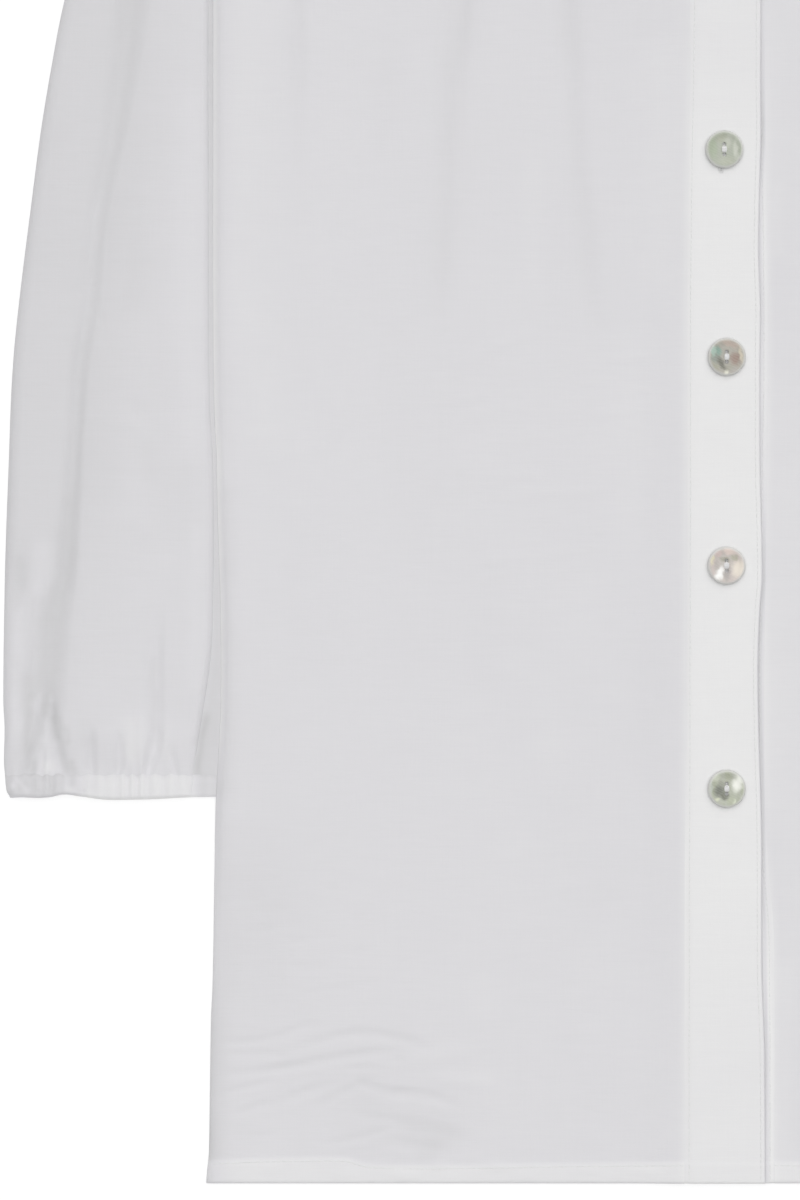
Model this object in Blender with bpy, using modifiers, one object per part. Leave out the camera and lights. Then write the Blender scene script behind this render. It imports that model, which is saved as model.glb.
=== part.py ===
"""A white button-through blouse laid flat with its front up, as solid walls of cloth.

Frame: +Z up, +Y from hem to neck, +X to the wearer's left, origin on the floor under the middle.
Every size below is in millimetres. A reach is measured sideways from the centre front and a height
from the hem up the garment. The sleeves lie along the sides, their inner folds under the body.
"""
import math
from collections import namedtuple

import bmesh
import bpy
import numpy as np

MM = 0.001

# Heights above the hem
NECK_POINT = 644.0
SHOULDER_POINT = 608.0
FRONT_NECK = 580.5
BACK_NECK = 637.0
HEM_TURNING = 10.0

# Reaches from the centre front
NECK_REACH = 109.5
SHOULDER_REACH = 233.5
TUCK_REACH = 198.4

# Cloth: wall thicknesses, and the gap between layers and at seams
BACK_WALL = 1.0
FRONT_WALL = 1.1
BAND_WALL = 1.4
NECKBAND_WALL = 1.2
SLEEVE_UNDER_WALL = 1.0
SLEEVE_UPPER_WALL = 1.1
SLEEVE_HOLLOW = 0.2
SEAM_GAP = 0.3
HEM_RAISE = 0.4

# Levels of the layers above the floor
SLEEVE_FLAT = SLEEVE_UNDER_WALL + SLEEVE_HOLLOW + SLEEVE_UPPER_WALL
TUCK_LIFT = SLEEVE_FLAT + SEAM_GAP
FRONT_LEVEL = BACK_WALL + SEAM_GAP
NECKBAND_LEVEL = NECKBAND_WALL + SEAM_GAP
LAP_LIFT = BAND_WALL + SEAM_GAP

# Where the body climbs over the sleeves, and the right front over the left
TUCK_RAMP_FOOT = 150.0
TUCK_RAMP_HEAD = 197.5
TUCK_END_FOOT = 104.0
TUCK_END_HEAD = 175.5
LAP_RAMP_FOOT = -42.0
LAP_RAMP_HEAD = -13.0

# The rims of the fronts curl down over the rim of the back
RIM_CURL = 2.8
BACK_INSET = 3.2

# Fullness
GATHER_DEPTH = 1.5
GATHER_LENGTH = 46.0
FRONT_GATHERS = 9
BACK_GATHERS = 12
FAN = 22.0
FAN_DEPTH = 70.0
GATHER_SPREAD = 0.35
GATHER_BEAT = 2.3
COLUMNS_PER_GATHER = 4
FRONT_PUFF = 1.2
PUFF_FOOT = 380.0
PUFF_HEAD = 550.0
SLEEVE_PUFF = 3.2
SLEEVE_ROLL = 6.0
NOSE_ROLL = 1.2
CUFF_PUFF = 1.5
CUFF_WAVE = 0.75
CUFF_PITCH = 5.5
SLEEVE_HEAD = 603.5
HEAD_RISE = 30.0
CASING_RISE = 20.0

# Widths over which the puff of a front dies away at its side, its band and its neck
PUFF_FROM_SIDE = 14.0
PUFF_FROM_BAND = 22.0
PUFF_FROM_NECK = 12.0

# Neckband and front bands
NECKBAND_WIDTH = 12.0
LAP_EDGE = 17.0
UNDERLAP_EDGE = -12.0
MITRE = math.radians(45)
MITRE_TURN = math.radians(30)
BACK_MITRE_WIDTH = 26.0
HOLE_CLEARANCE = 3.0
HOLE_EASE = 0.15

# Sleeve end
CASING_TOP = 186.0
CASING_END = 176.0

# Shell buttons, sewn through two holes
BUTTON_DIAMETER = 18.0
BUTTON_THICKNESS = 2.6
BUTTON_RIM = 2.2
BUTTON_DISH = 0.7
BUTTON_SLOPE = 1.5
BUTTON_BEVEL = 0.6
BUTTON_EDGE_DROP = 1.2
BUTTON_UNDERCUT = 1.8
BUTTON_HOLE = 1.8
BUTTON_HOLE_SPACING = 3.6
BUTTON_SEGMENTS = 26
BUTTON_HEIGHTS = (565.4, 471.0, 376.7, 280.9, 179.2)

HALF_LENGTH = (NECK_POINT + NECKBAND_WIDTH * math.sin(math.radians(45)) + SEAM_GAP) / 2

# Side seam of the body, from the hem up
Edge = namedtuple("Edge", "height reach")
BODY_EDGE = (
    Edge(0, 236.2), Edge(38, 235.3), Edge(83, 233.6), Edge(138, 232.6), Edge(170, 232.2),
    Edge(197, 230.9), Edge(220, 229.9), Edge(245, 229.8), Edge(266, 230.2), Edge(302, 231.3),
    Edge(332, 231.9), Edge(350, 232.8), Edge(380, 233.3), Edge(440, 233.5), Edge(540, 233.5),
    Edge(660, 233.5),
)

# The two edges of the upper front band, and the outer edge of the one under it, positive to +X
Lap = namedtuple("Lap", "height seam edge under_edge")
LAPS = (
    Lap(0, -18.6, 18.5, 22.8), Lap(60, -18.6, 18.2, 22.8), Lap(110, -18.5, 17.7, 22.4),
    Lap(150, -18.4, 17.2, 19.4), Lap(175, -18.3, 16.8, 18.2), Lap(243, -18.2, 15.4, 18.0),
    Lap(277, -18.1, 16.6, 18.4), Lap(330, -18.0, 16.0, 19.4), Lap(371, -18.0, 15.6, 20.0),
    Lap(410, -17.9, 15.6, 20.0), Lap(453, -17.4, 15.4, 19.4), Lap(500, -16.6, 16.0, 18.4),
    Lap(560, -16.0, 16.4, 17.8), Lap(600, -16.0, 16.4, 17.8),
)

# Sleeve sections from the armhole to the casing: each runs from its inner fold, which lies under
# the body at TUCK_REACH, to the outer fold that is the sleeve's outline
Section = namedtuple("Section", "inner_height outer_height outer_reach")
SLEEVE_SECTIONS = (
    Section(613.5, 605.5, 229.0), Section(606, 603, 246.0), Section(598, 600.6, 255.4),
    Section(588, 589.6, 273.5), Section(575, 575, 286.2), Section(558, 557.7, 295.4),
    Section(540, 539.4, 301.4), Section(510, 509.8, 307.2), Section(480, 480.2, 312.1),
    Section(448, 448.2, 316.3), Section(398, 398.1, 322.2), Section(334, 334.2, 326.3),
    Section(275, 275, 328.6), Section(220, 220.2, 329.5), Section(193, 192.9, 329.0),
    Section(184, 184, 328.3), Section(179.5, 179.5, 326.5), Section(176, 176, 322.2),
)
SLEEVE_ROWS = (
    613.5, 606, 598, 588, 575, 558, 540, 512, 484, 457, 430, 403, 371, 345, 320, 296, 276, 258,
    244, 232, 221, 211, 203, 196, 190,
)
CUFF_ROWS = (CASING_TOP - SEAM_GAP, 182.0, 178.8, CASING_END)

# Least distances from the outer fold of the corners between a section's runs of points
STATION_ROOM = (30.0, 28.0, 10.0, 8.5, 7.5, 6.5, SLEEVE_ROLL)

# Where the points round the outer fold stand, as shares of its roll, and how far in the corners
# underneath are cut
ROLL_SHARES = (1.0, 0.6, 0.28, 0.07, 0.0)
CORNER_CUT = 0.3

# Width of the valley where the sleeve rises, starting just beyond the edge of the body
VALLEY_START = 0.8
Valley = namedtuple("Valley", "height width")
VALLEYS = (
    Valley(180, 15.0), Valley(202, 14.0), Valley(220, 12.5), Valley(266, 8.0), Valley(300, 5.5),
    Valley(332, 5.0), Valley(608, 5.0),
)

# Long soft folds, each followed down the garment, and shorter creases, all troughs in the puff
Fold = namedtuple("Fold", "height reach half_width depth")
Crease = namedtuple("Crease", "start_reach start_height end_reach end_height half_width depth")
SLEEVE_FOLDS = {
    "right": (
        Fold(186, 304.0, 5.0, 0.9), Fold(200, 306.5, 5.5, 1.3), Fold(213, 308.5, 7.0, 1.5),
        Fold(225, 310.0, 9.6, 1.6), Fold(252, 307.6, 8.8, 1.6), Fold(280, 302.0, 6.4, 1.6),
        Fold(307, 299.8, 6.0, 1.5), Fold(339, 297.8, 5.0, 1.4), Fold(371, 295.0, 5.0, 1.2),
        Fold(403, 289.8, 6.2, 1.1), Fold(439, 285.2, 6.6, 1.1), Fold(471, 280.4, 7.4, 1.2),
        Fold(498, 276.6, 9.0, 1.3), Fold(526, 272.6, 9.6, 1.4), Fold(560, 267.0, 9.0, 1.0),
        Fold(600, 258.0, 8.0, 0.0),
    ),
    "left": (
        Fold(186, 301.0, 5.0, 0.9), Fold(204, 303.0, 6.0, 1.3), Fold(216, 305.0, 7.4, 1.5),
        Fold(240, 304.0, 8.6, 1.6), Fold(272, 298.0, 7.0, 1.6), Fold(306, 293.4, 6.2, 1.5),
        Fold(345, 294.6, 5.2, 1.3), Fold(395, 288.6, 6.0, 1.1), Fold(440, 281.0, 6.8, 1.1),
        Fold(480, 275.0, 7.8, 1.2), Fold(515, 270.6, 9.4, 1.4), Fold(550, 265.0, 9.2, 1.1),
        Fold(600, 255.0, 8.0, 0.0),
    ),
}
SLEEVE_CREASES = {
    "right": (
        Crease(309.0, 219, 317.5, 187, 4.2, 2.0), Crease(259.2, 250, 259.4, 203, 4.6, 1.2),
        Crease(259.4, 203, 262.6, 188, 4.6, 1.2), Crease(289.0, 204, 289.6, 186, 3.6, 1.1),
        Crease(276.0, 202, 276.4, 186, 3.6, 1.1),
    ),
    "left": (
        Crease(305.5, 212, 314.0, 187, 4.2, 1.8), Crease(256.0, 236, 258.0, 188, 4.6, 1.3),
        Crease(286.0, 208, 287.5, 186, 3.8, 1.2), Crease(272.0, 199, 272.4, 186, 3.6, 1.1),
        Crease(262.0, 450, 266.0, 352, 6.0, 0.9),
    ),
}

# Folds that run down the fronts from the shoulders and the gathered neck
FRONT_FOLDS = {
    "right": (
        (
            Fold(400, 197.0, 9.0, 0.0), Fold(440, 196.4, 8.0, 0.2), Fold(470, 196.0, 7.0, 0.3),
            Fold(498, 195.6, 6.4, 0.45), Fold(526, 195.2, 5.4, 0.6), Fold(570, 194.0, 5.6, 0.6),
            Fold(608, 192.0, 6.0, 0.3),
        ),
        (
            Fold(372, 133.0, 8.0, 0.0), Fold(400, 132.0, 8.4, 0.35), Fold(426, 130.8, 8.6, 0.55),
            Fold(458, 128.8, 8.0, 0.55), Fold(494, 127.0, 7.4, 0.65), Fold(526, 122.8, 8.2, 0.7),
            Fold(566, 118.6, 8.6, 0.7), Fold(606, 114.0, 7.0, 0.3),
        ),
        (
            Fold(374, 60.5, 7.0, 0.0), Fold(402, 62.4, 7.6, 0.35), Fold(426, 64.4, 8.6, 0.55),
            Fold(458, 67.4, 7.4, 0.55), Fold(494, 69.4, 6.6, 0.6), Fold(526, 71.2, 6.8, 0.7),
            Fold(560, 73.0, 6.4, 0.6), Fold(590, 75.0, 6.0, 0.2),
        ),
    ),
    "left": (
        (
            Fold(410, 192.0, 9.0, 0.0), Fold(470, 191.5, 7.4, 0.3), Fold(530, 190.4, 5.6, 0.6),
            Fold(570, 189.0, 5.8, 0.6), Fold(608, 187.0, 6.0, 0.3),
        ),
        (
            Fold(390, 136.0, 8.0, 0.0), Fold(430, 133.4, 8.6, 0.5), Fold(490, 129.4, 7.6, 0.65),
            Fold(530, 125.0, 8.2, 0.7), Fold(570, 121.0, 8.6, 0.6), Fold(606, 117.0, 7.0, 0.2),
        ),
        (
            Fold(392, 68.0, 7.0, 0.0), Fold(436, 70.4, 8.0, 0.5), Fold(486, 74.0, 6.8, 0.6),
            Fold(530, 77.0, 6.6, 0.7), Fold(566, 79.0, 6.4, 0.6), Fold(592, 80.0, 6.0, 0.2),
        ),
    ),
}

# Rows of a body panel: a share of the height of its top edge, and an offset
Row = namedtuple("Row", "share offset")
RIM_ROWS = (Row(1, 0), Row(1, -0.9), Row(1, -1.9), Row(1, -RIM_CURL))
NECK_ROWS = (Row(1, -10), Row(1, -20), Row(1, -32), Row(1, -46), Row(1, -66))
BODY_ROWS = (Row(0.84, 0), Row(0.73, 0), Row(0.62, 0), Row(0, 300), Row(0, 243))
TUCK_ROWS = (
    Row(0, 176), Row(0, 164), Row(0, 152), Row(0, 140), Row(0, 128), Row(0, 116), Row(0, 104),
)
HEM_ROWS = (Row(0, 80), Row(0, HEM_TURNING + 0.4), Row(0, HEM_TURNING), Row(0, 0))
FRONT_ROWS = RIM_ROWS + NECK_ROWS + BODY_ROWS + TUCK_ROWS + HEM_ROWS
BACK_ROWS = (Row(1, 0),) + NECK_ROWS + BODY_ROWS + TUCK_ROWS + HEM_ROWS

# Columns of a body panel: reaches along the shoulder, close together over the sleeve's inner fold
SHOULDER_COLUMNS = (214, 203, 197, 191, 185, 179, 173, 167, 161, 155, 140, 124, NECK_REACH)


def smooth(share):
    """Ease from 0 to 1."""
    share = np.clip(share, 0.0, 1.0)
    return share * share * (3.0 - 2.0 * share)


def read(table, name, at, knot="height"):
    """A column of a table at any knot value, on a smooth curve that never overshoots the rows."""
    rows = sorted(table, key=lambda row: getattr(row, knot))
    knots = np.array([getattr(row, knot) for row in rows], float)
    values = np.array([getattr(row, name) for row in rows], float)
    rises = np.diff(values) / np.diff(knots)
    product = rises[1:] * rises[:-1]
    total = np.where(product > 0, rises[1:] + rises[:-1], 1.0)
    slopes = np.zeros_like(values)
    slopes[1:-1] = np.where(product > 0, 2.0 * product / total, 0.0)
    at = np.asarray(at, float)
    k = np.clip(np.searchsorted(knots, at, side="right") - 1, 0, len(knots) - 2)
    span = knots[k + 1] - knots[k]
    t = np.clip((at - knots[k]) / span, 0.0, 1.0)
    ahead = smooth(t)
    return ((1 - ahead) * values[k] + ahead * values[k + 1]
            + t * (1 - t) ** 2 * span * slopes[k] - t * t * (1 - t) * span * slopes[k + 1])


def crease_depth(crease, reach, height):
    """Depth of a crease at each point: a soft trough about a segment, easing out at both ends."""
    along = (crease.end_reach - crease.start_reach, crease.end_height - crease.start_height)
    length = math.hypot(*along)
    across = (-along[1] / length, along[0] / length)
    from_start = (reach - crease.start_reach, height - crease.start_height)
    travel = (from_start[0] * along[0] + from_start[1] * along[1]) / length
    offset = from_start[0] * across[0] + from_start[1] * across[1]
    profile = np.clip(1.0 - (offset / crease.half_width) ** 2, 0.0, 1.0) ** 2
    ease = 0.3 * length
    ends = smooth((travel + ease) / ease) * smooth((length + ease - travel) / ease)
    return crease.depth * profile * ends


def fold_depth(fold, reach, height):
    """Depth of a long fold that wanders down the garment."""
    offset = (reach - read(fold, "reach", height)) / read(fold, "half_width", height)
    return read(fold, "depth", height) * np.clip(1.0 - offset ** 2, 0.0, 1.0) ** 2


def body_edge(height):
    return read(BODY_EDGE, "reach", height)


def shoulder_line(reach):
    slope = (NECK_POINT - SHOULDER_POINT) / (SHOULDER_REACH - NECK_REACH)
    return NECK_POINT - (reach - NECK_REACH) * slope


def front_neckline(reach):
    """A quarter of an ellipse from the neck point down to the centre front."""
    drop = NECK_POINT - FRONT_NECK
    return NECK_POINT - drop * np.sqrt(np.clip(1.0 - (reach / NECK_REACH) ** 2, 0.0, 1.0))


def back_neckline(reach):
    rise = NECK_POINT - BACK_INSET - BACK_NECK
    return BACK_NECK + rise * (reach / NECK_REACH) ** 2


LAP_EDGES = {
    "right": (lambda height: read(LAPS, "seam", height), lambda height: read(LAPS, "edge", height)),
    "left": (lambda height: np.full_like(height, UNDERLAP_EDGE, dtype=float),
             lambda height: read(LAPS, "under_edge", height)),
}


def tuck_lift(reach, height):
    """How far the body is raised over the sleeve that lies under its side."""
    across = smooth((reach - TUCK_RAMP_FOOT) / (TUCK_RAMP_HEAD - TUCK_RAMP_FOOT))
    upward = smooth((height - TUCK_END_FOOT) / (TUCK_END_HEAD - TUCK_END_FOOT))
    return TUCK_LIFT * across * upward


def lap_lift(x):
    """How far the right front and its bands are raised to lap over the left."""
    return LAP_LIFT * smooth((x - LAP_RAMP_FOOT) / (LAP_RAMP_HEAD - LAP_RAMP_FOOT))


def neckline_tops(gathers, seam):
    """Reaches of columns spaced evenly along the front neckline, and their shares of its length."""
    angle = np.linspace(0.0, math.pi / 2, 400)
    reach = NECK_REACH * np.cos(angle)
    steps = np.hypot(np.diff(reach), np.diff(front_neckline(reach)))
    run = np.concatenate([[0.0], np.cumsum(steps)])
    end = np.interp(-seam, -reach, run)
    columns = COLUMNS_PER_GATHER * gathers
    share = np.arange(1, columns + 1) / columns
    return np.interp(share * end, run, reach), share


def closed_wall(name, x, height, lower, upper, colour):
    """A sheet of cloth: a grid laid to its plan, and its upper face extruded from the lower one."""
    rows, columns = x.shape
    mesh = bmesh.new()
    bmesh.ops.create_grid(mesh, x_segments=columns - 1, y_segments=rows - 1, size=0.5)
    column_of = mesh.verts.layers.int.new("column")
    row_of = mesh.verts.layers.int.new("row")
    for vertex in mesh.verts:
        vertex[column_of] = round((vertex.co.x + 0.5) * (columns - 1))
        vertex[row_of] = round((vertex.co.y + 0.5) * (rows - 1))
    raised = bmesh.ops.extrude_face_region(mesh, geom=mesh.faces[:])["geom"]
    raised = {piece for piece in raised if isinstance(piece, bmesh.types.BMVert)}
    for vertex in mesh.verts:
        at = (vertex[row_of], vertex[column_of])
        level = upper[at] if vertex in raised else lower[at]
        vertex.co = (x[at] * MM, (height[at] - HALF_LENGTH) * MM, level * MM)
    return finished(name, mesh, colour)


def closed_tube(name, loops, colour):
    """A tube of cloth: a grid whose rows run down the outside and back up the inside."""
    rows, around = loops.shape[:2]
    mesh = bmesh.new()
    bmesh.ops.create_grid(mesh, x_segments=around, y_segments=rows, size=0.5)
    for vertex in mesh.verts:
        at = (round((vertex.co.y + 0.5) * rows) % rows, round((vertex.co.x + 0.5) * around) % around)
        x, height, level = loops[at]
        vertex.co = (x * MM, (height - HALF_LENGTH) * MM, level * MM)
    bmesh.ops.remove_doubles(mesh, verts=mesh.verts[:], dist=1e-6)
    return finished(name, mesh, colour)


def finished(name, mesh, colour):
    """Turn the faces outward, make the object and give it its cloth."""
    bmesh.ops.recalc_face_normals(mesh, faces=mesh.faces[:])
    data = bpy.data.meshes.new(name)
    mesh.to_mesh(data)
    mesh.free()
    piece = bpy.data.objects.new(name, data)
    garment.objects.link(piece)
    data.shade_smooth()
    data.set_sharp_from_angle(angle=math.radians(40))
    data.materials.append(finish(name, colour, roughness=0.9))
    return piece


def finish(name, colour, roughness):
    material = bpy.data.materials.new(name)
    material.use_nodes = True
    shader = material.node_tree.nodes["Principled BSDF"]
    shader.inputs["Base Color"].default_value = (*colour, 1.0)
    shader.inputs["Roughness"].default_value = roughness
    shader.inputs["Metallic"].default_value = 0.0
    return material


def body_plan(tops, top_heights, rows, seam_at):
    """Reach, height and depth below the top edge for a grid of columns and rows.

    Columns fan outward from the neck and then run down the cloth. seam_at gives the reach of the
    panel's centre edge at a height."""
    share = np.array([row.share for row in rows])[:, None]
    offset = np.array([row.offset for row in rows])[:, None]
    height = share * top_heights[None, :] + offset
    depth = top_heights[None, :] - height
    outward = 1.0 - smooth((tops - NECK_REACH) / (SHOULDER_REACH - NECK_REACH))
    inward = smooth((tops - seam_at(NECK_POINT)) / (NECK_REACH - seam_at(NECK_POINT)))
    shift = FAN * np.where(tops > NECK_REACH, outward, inward) * smooth(depth / FAN_DEPTH)
    seam = seam_at(height)
    across = (tops + shift - seam_at(NECK_POINT)) / (SHOULDER_REACH - seam_at(NECK_POINT))
    return seam + (body_edge(height) - seam) * across, height, depth


def front(side, sign, seam_at, colour):
    """One front: gathered to the neckband, smooth below, its hem turned up."""
    rim = [SHOULDER_REACH + row.offset for row in RIM_ROWS]
    neck, along_neck = neckline_tops(FRONT_GATHERS, seam_at(NECK_POINT))
    tops = np.concatenate([rim, SHOULDER_COLUMNS, neck])
    top_heights = np.where(tops < NECK_REACH, front_neckline(tops), shoulder_line(tops))
    reach, height, depth = body_plan(tops, top_heights, FRONT_ROWS, seam_at)

    gather = np.zeros_like(tops)
    gather[-len(neck):] = 0.5 - 0.5 * np.cos(2 * math.pi * FRONT_GATHERS * along_neck)
    length = np.full_like(tops, GATHER_LENGTH)
    number = np.arange(len(neck)) // COLUMNS_PER_GATHER
    length[-len(neck):] *= 1.0 + GATHER_SPREAD * np.sin(GATHER_BEAT * number)
    gathered = GATHER_DEPTH * gather * (1.0 - smooth(depth / length))

    from_edge = body_edge(height) - reach
    from_shoulder = shoulder_line(reach) - height
    puffed = FRONT_PUFF * smooth((height - PUFF_FOOT) / (PUFF_HEAD - PUFF_FOOT))
    puffed = puffed * smooth((from_edge - RIM_CURL) / PUFF_FROM_SIDE)
    puffed = puffed * smooth((reach - seam_at(height)) / PUFF_FROM_BAND)
    puffed = puffed * smooth(depth / PUFF_FROM_NECK)
    for fold in FRONT_FOLDS[side]:
        puffed = puffed - fold_depth(fold, reach, height)
    hem = np.where(height <= HEM_TURNING, HEM_RAISE, 0.0)

    curl = smooth(from_edge / RIM_CURL) * smooth(from_shoulder / RIM_CURL)
    lower = tuck_lift(reach, height) + FRONT_LEVEL * curl + np.maximum(puffed, 0.0)
    if side == "right":
        lower = lower + lap_lift(-reach)
    upper = lower + FRONT_WALL + gathered + hem
    return closed_wall("front_" + side, sign * reach, height, lower, upper, colour)


def back(colour):
    """The back, whole, inside the rims of the fronts."""
    side = np.array((SHOULDER_REACH - BACK_INSET,) + SHOULDER_COLUMNS)
    steps = COLUMNS_PER_GATHER * BACK_GATHERS
    across_neck = np.arange(1, steps) / steps
    x_top = np.concatenate([-side, NECK_REACH * (2.0 * across_neck - 1.0), side[::-1]])
    tops = np.abs(x_top)
    top_heights = np.where(tops < NECK_REACH, back_neckline(tops), shoulder_line(tops) - BACK_INSET)
    reach, height, depth = body_plan(tops, top_heights, BACK_ROWS, np.zeros_like)
    x = np.sign(x_top) * reach

    gather = np.zeros_like(tops)
    gather[len(side):-len(side)] = 0.5 - 0.5 * np.cos(2 * math.pi * BACK_GATHERS * across_neck)
    shy = NECKBAND_WIDTH + HOLE_CLEARANCE
    hole = np.hypot(x / (NECK_REACH - shy), (NECK_POINT - height) / (NECK_POINT - FRONT_NECK - shy))
    inside = smooth((1.0 - hole) / HOLE_EASE)
    gathered = gather * inside * (1.0 - smooth(depth / GATHER_LENGTH))
    hem = np.where(height <= HEM_TURNING, HEM_RAISE - SEAM_GAP / 2, 0.0)

    lower = tuck_lift(reach, height)
    upper = lower + BACK_WALL + gathered + hem
    return closed_wall("back", x, height, lower, upper, colour)


def front_bands(colour):
    """The two doubled bands down the centre front, the right one over the left."""
    share = np.array([row.share for row in FRONT_ROWS])[:, None]
    offset = np.array([row.offset for row in FRONT_ROWS])[:, None]
    across = np.linspace(0.0, 1.0, 6)[None, :]
    for side, level in (("right", FRONT_LEVEL + LAP_LIFT), ("left", FRONT_LEVEL)):
        inner_edge, outer_edge = LAP_EDGES[side]
        top_x = inner_edge(NECK_POINT) + (outer_edge(NECK_POINT) - inner_edge(NECK_POINT)) * across
        height = share * front_neckline(np.abs(top_x)) + offset
        x = inner_edge(height) + (outer_edge(height) - inner_edge(height)) * across
        lower = np.full_like(height, level)
        closed_wall("placket_" + side, x, height, lower, lower + BAND_WALL, colour)


def band_strip(name, seam_x, seam_height, tilt, lower, colour):
    """A length of neckband: a strip of even width raised from its seam in the direction tilt."""
    out = np.array([SEAM_GAP, NECKBAND_WIDTH])[:, None]
    x = seam_x[None, :] + out * np.cos(tilt)[None, :]
    height = seam_height[None, :] + out * np.sin(tilt)[None, :]
    lower = np.repeat(lower[None, :], 2, axis=0)
    closed_wall(name, x, height, lower, lower + NECKBAND_WALL, colour)


def neckband(colour):
    """Band round the neck: two lengths along the front neckline and one behind, mitred."""
    drop = NECK_POINT - FRONT_NECK
    for side, sign, far_end in (("right", -1, LAP_EDGE), ("left", 1, -UNDERLAP_EDGE)):
        last = math.pi / 2 + math.asin(far_end / NECK_REACH)
        angle = np.linspace(0.0, last, 25)
        normal = np.arctan2(np.sin(angle) / drop, np.cos(angle) / NECK_REACH)
        mitre = MITRE * (1.0 - smooth(angle / MITRE_TURN))
        x = -NECK_REACH * np.cos(angle)
        height = NECK_POINT - drop * np.sin(angle)
        lower = np.full_like(angle, NECKBAND_LEVEL)
        if side == "right":
            lower = lower + lap_lift(x)
        tilt = normal + mitre
        if sign > 0:
            x = -x
            tilt = math.pi - tilt
        band_strip("neckband_" + side, x, height, tilt, lower, colour)
    x = np.linspace(-1.0, 1.0, 25) * (NECK_REACH - 2 * SEAM_GAP)
    height = back_neckline(np.abs(x)) + SEAM_GAP
    lean = MITRE * smooth((np.abs(x) - NECK_REACH) / BACK_MITRE_WIDTH + 1.0)
    band_strip("neckband_back", x, height, math.pi / 2 + np.sign(x) * lean, np.zeros_like(x), colour)


def sleeve_rise(reach, height):
    """From 0 where the sleeve is pressed flat by the body to 1 where it is free to puff."""
    return smooth((reach - body_edge(height) - VALLEY_START) / read(VALLEYS, "width", height))


def sleeve_relief(side, reach, height):
    """How far the sleeve's upper side puffs above its flat level."""
    into_casing = smooth((height - CASING_TOP) / CASING_RISE)
    puff = CUFF_PUFF + (SLEEVE_PUFF - CUFF_PUFF) * into_casing
    puff = puff * sleeve_rise(reach, height) * smooth((SLEEVE_HEAD - height) / HEAD_RISE)
    puff = puff - fold_depth(SLEEVE_FOLDS[side], reach, height)
    for crease in SLEEVE_CREASES[side]:
        puff = puff - crease_depth(crease, reach, height)
    return np.maximum(puff, 0.0)


def cuff_relief(side, reach, height):
    """The elastic draws the casing into even waves, pressed flat where it lies under the body."""
    wave = np.cos(2 * math.pi * reach / CUFF_PITCH)
    return sleeve_rise(reach, height) * (CUFF_PUFF + CUFF_WAVE * wave)


def tube_stations(outer, edge, valley, fold, fold_half, evenly):
    """Reaches of the points across a section's upper side, from the inner fold to the outer."""
    foot = edge + VALLEY_START
    corners = [TUCK_REACH, TUCK_REACH + NOSE_ROLL, foot, foot + valley]
    corners += [fold - fold_half, fold + fold_half, outer - SLEEVE_ROLL]
    corners = [min(corner, outer - room) for corner, room in zip(corners, STATION_ROOM)]
    counts = (1, 2, 3, evenly, 4, evenly // 3)
    points = [np.linspace(a, b, n, endpoint=False) for a, b, n in zip(corners, corners[1:], counts)]
    roll = outer - SLEEVE_ROLL * np.array(ROLL_SHARES)
    return np.concatenate(points + [roll])


def section_loop(sign, stations, inner_height, outer_height, relief, inset):
    """A section of a flat tube: over the top to the outer fold, and back along the floor."""
    outer = stations[-1]
    step = SLEEVE_UPPER_WALL * inset
    inner_fold = TUCK_REACH + step
    outer_fold = outer - step
    shrink = (outer_fold - inner_fold) / (outer - TUCK_REACH)
    over = inner_fold + (stations - TUCK_REACH) * shrink
    slope = (outer_height - inner_height) / (outer - TUCK_REACH)

    fold_level = SLEEVE_FLAT / 2
    if inset:
        fold_level = SLEEVE_UNDER_WALL + SLEEVE_HOLLOW / 2
    top = SLEEVE_FLAT - step + relief(over, inner_height + (over - TUCK_REACH) * slope)
    outer_roll = (SLEEVE_ROLL - step) * shrink
    near_outer = np.clip((outer_fold - over) / outer_roll, 0.0, 1.0)
    near_inner = np.clip((over - inner_fold) / NOSE_ROLL, 0.0, 1.0)
    rounded = np.sqrt(1.0 - (1.0 - near_outer) ** 2) * np.sqrt(1.0 - (1.0 - near_inner) ** 2)
    over_level = fold_level + (top - fold_level) * rounded

    nose = NOSE_ROLL - 0.5 * step
    under = np.array([outer_fold - CORNER_CUT * nose, outer_fold - nose,
                      (inner_fold + outer_fold) / 2,
                      inner_fold + nose, inner_fold + CORNER_CUT * nose])
    floor = SLEEVE_UNDER_WALL * inset
    corner = floor + CORNER_CUT * (fold_level - floor)
    under_level = np.array([corner, floor, floor, floor, corner])
    reach = np.concatenate([over, under])
    height = inner_height + (reach - TUCK_REACH) * slope
    return np.stack([sign * reach, height, np.concatenate([over_level, under_level])], axis=-1)


def cloth_tube(name, side, sign, heights, relief, evenly, colour):
    """A sleeve or its casing, as the loft of its sections outside and, back again, inside."""
    stations = []
    ends = []
    for inner_height in heights:
        outer_height = float(read(SLEEVE_SECTIONS, "outer_height", inner_height, "inner_height"))
        outer = float(read(SLEEVE_SECTIONS, "outer_reach", inner_height, "inner_height"))
        fold = float(read(SLEEVE_FOLDS[side], "reach", outer_height))
        half = float(read(SLEEVE_FOLDS[side], "half_width", outer_height))
        edge = float(body_edge(inner_height))
        valley = float(read(VALLEYS, "width", inner_height))
        stations.append(tube_stations(outer, edge, valley, fold, half, evenly))
        ends.append((inner_height, outer_height))
    loops = []
    for inset in (0, 1):
        shell = [section_loop(sign, at, low, high, lambda r, h: relief(side, r, h), inset)
                 for at, (low, high) in zip(stations, ends)]
        loops += shell[::-1] if inset else shell
    return closed_tube(name, np.array(loops), colour)


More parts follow.
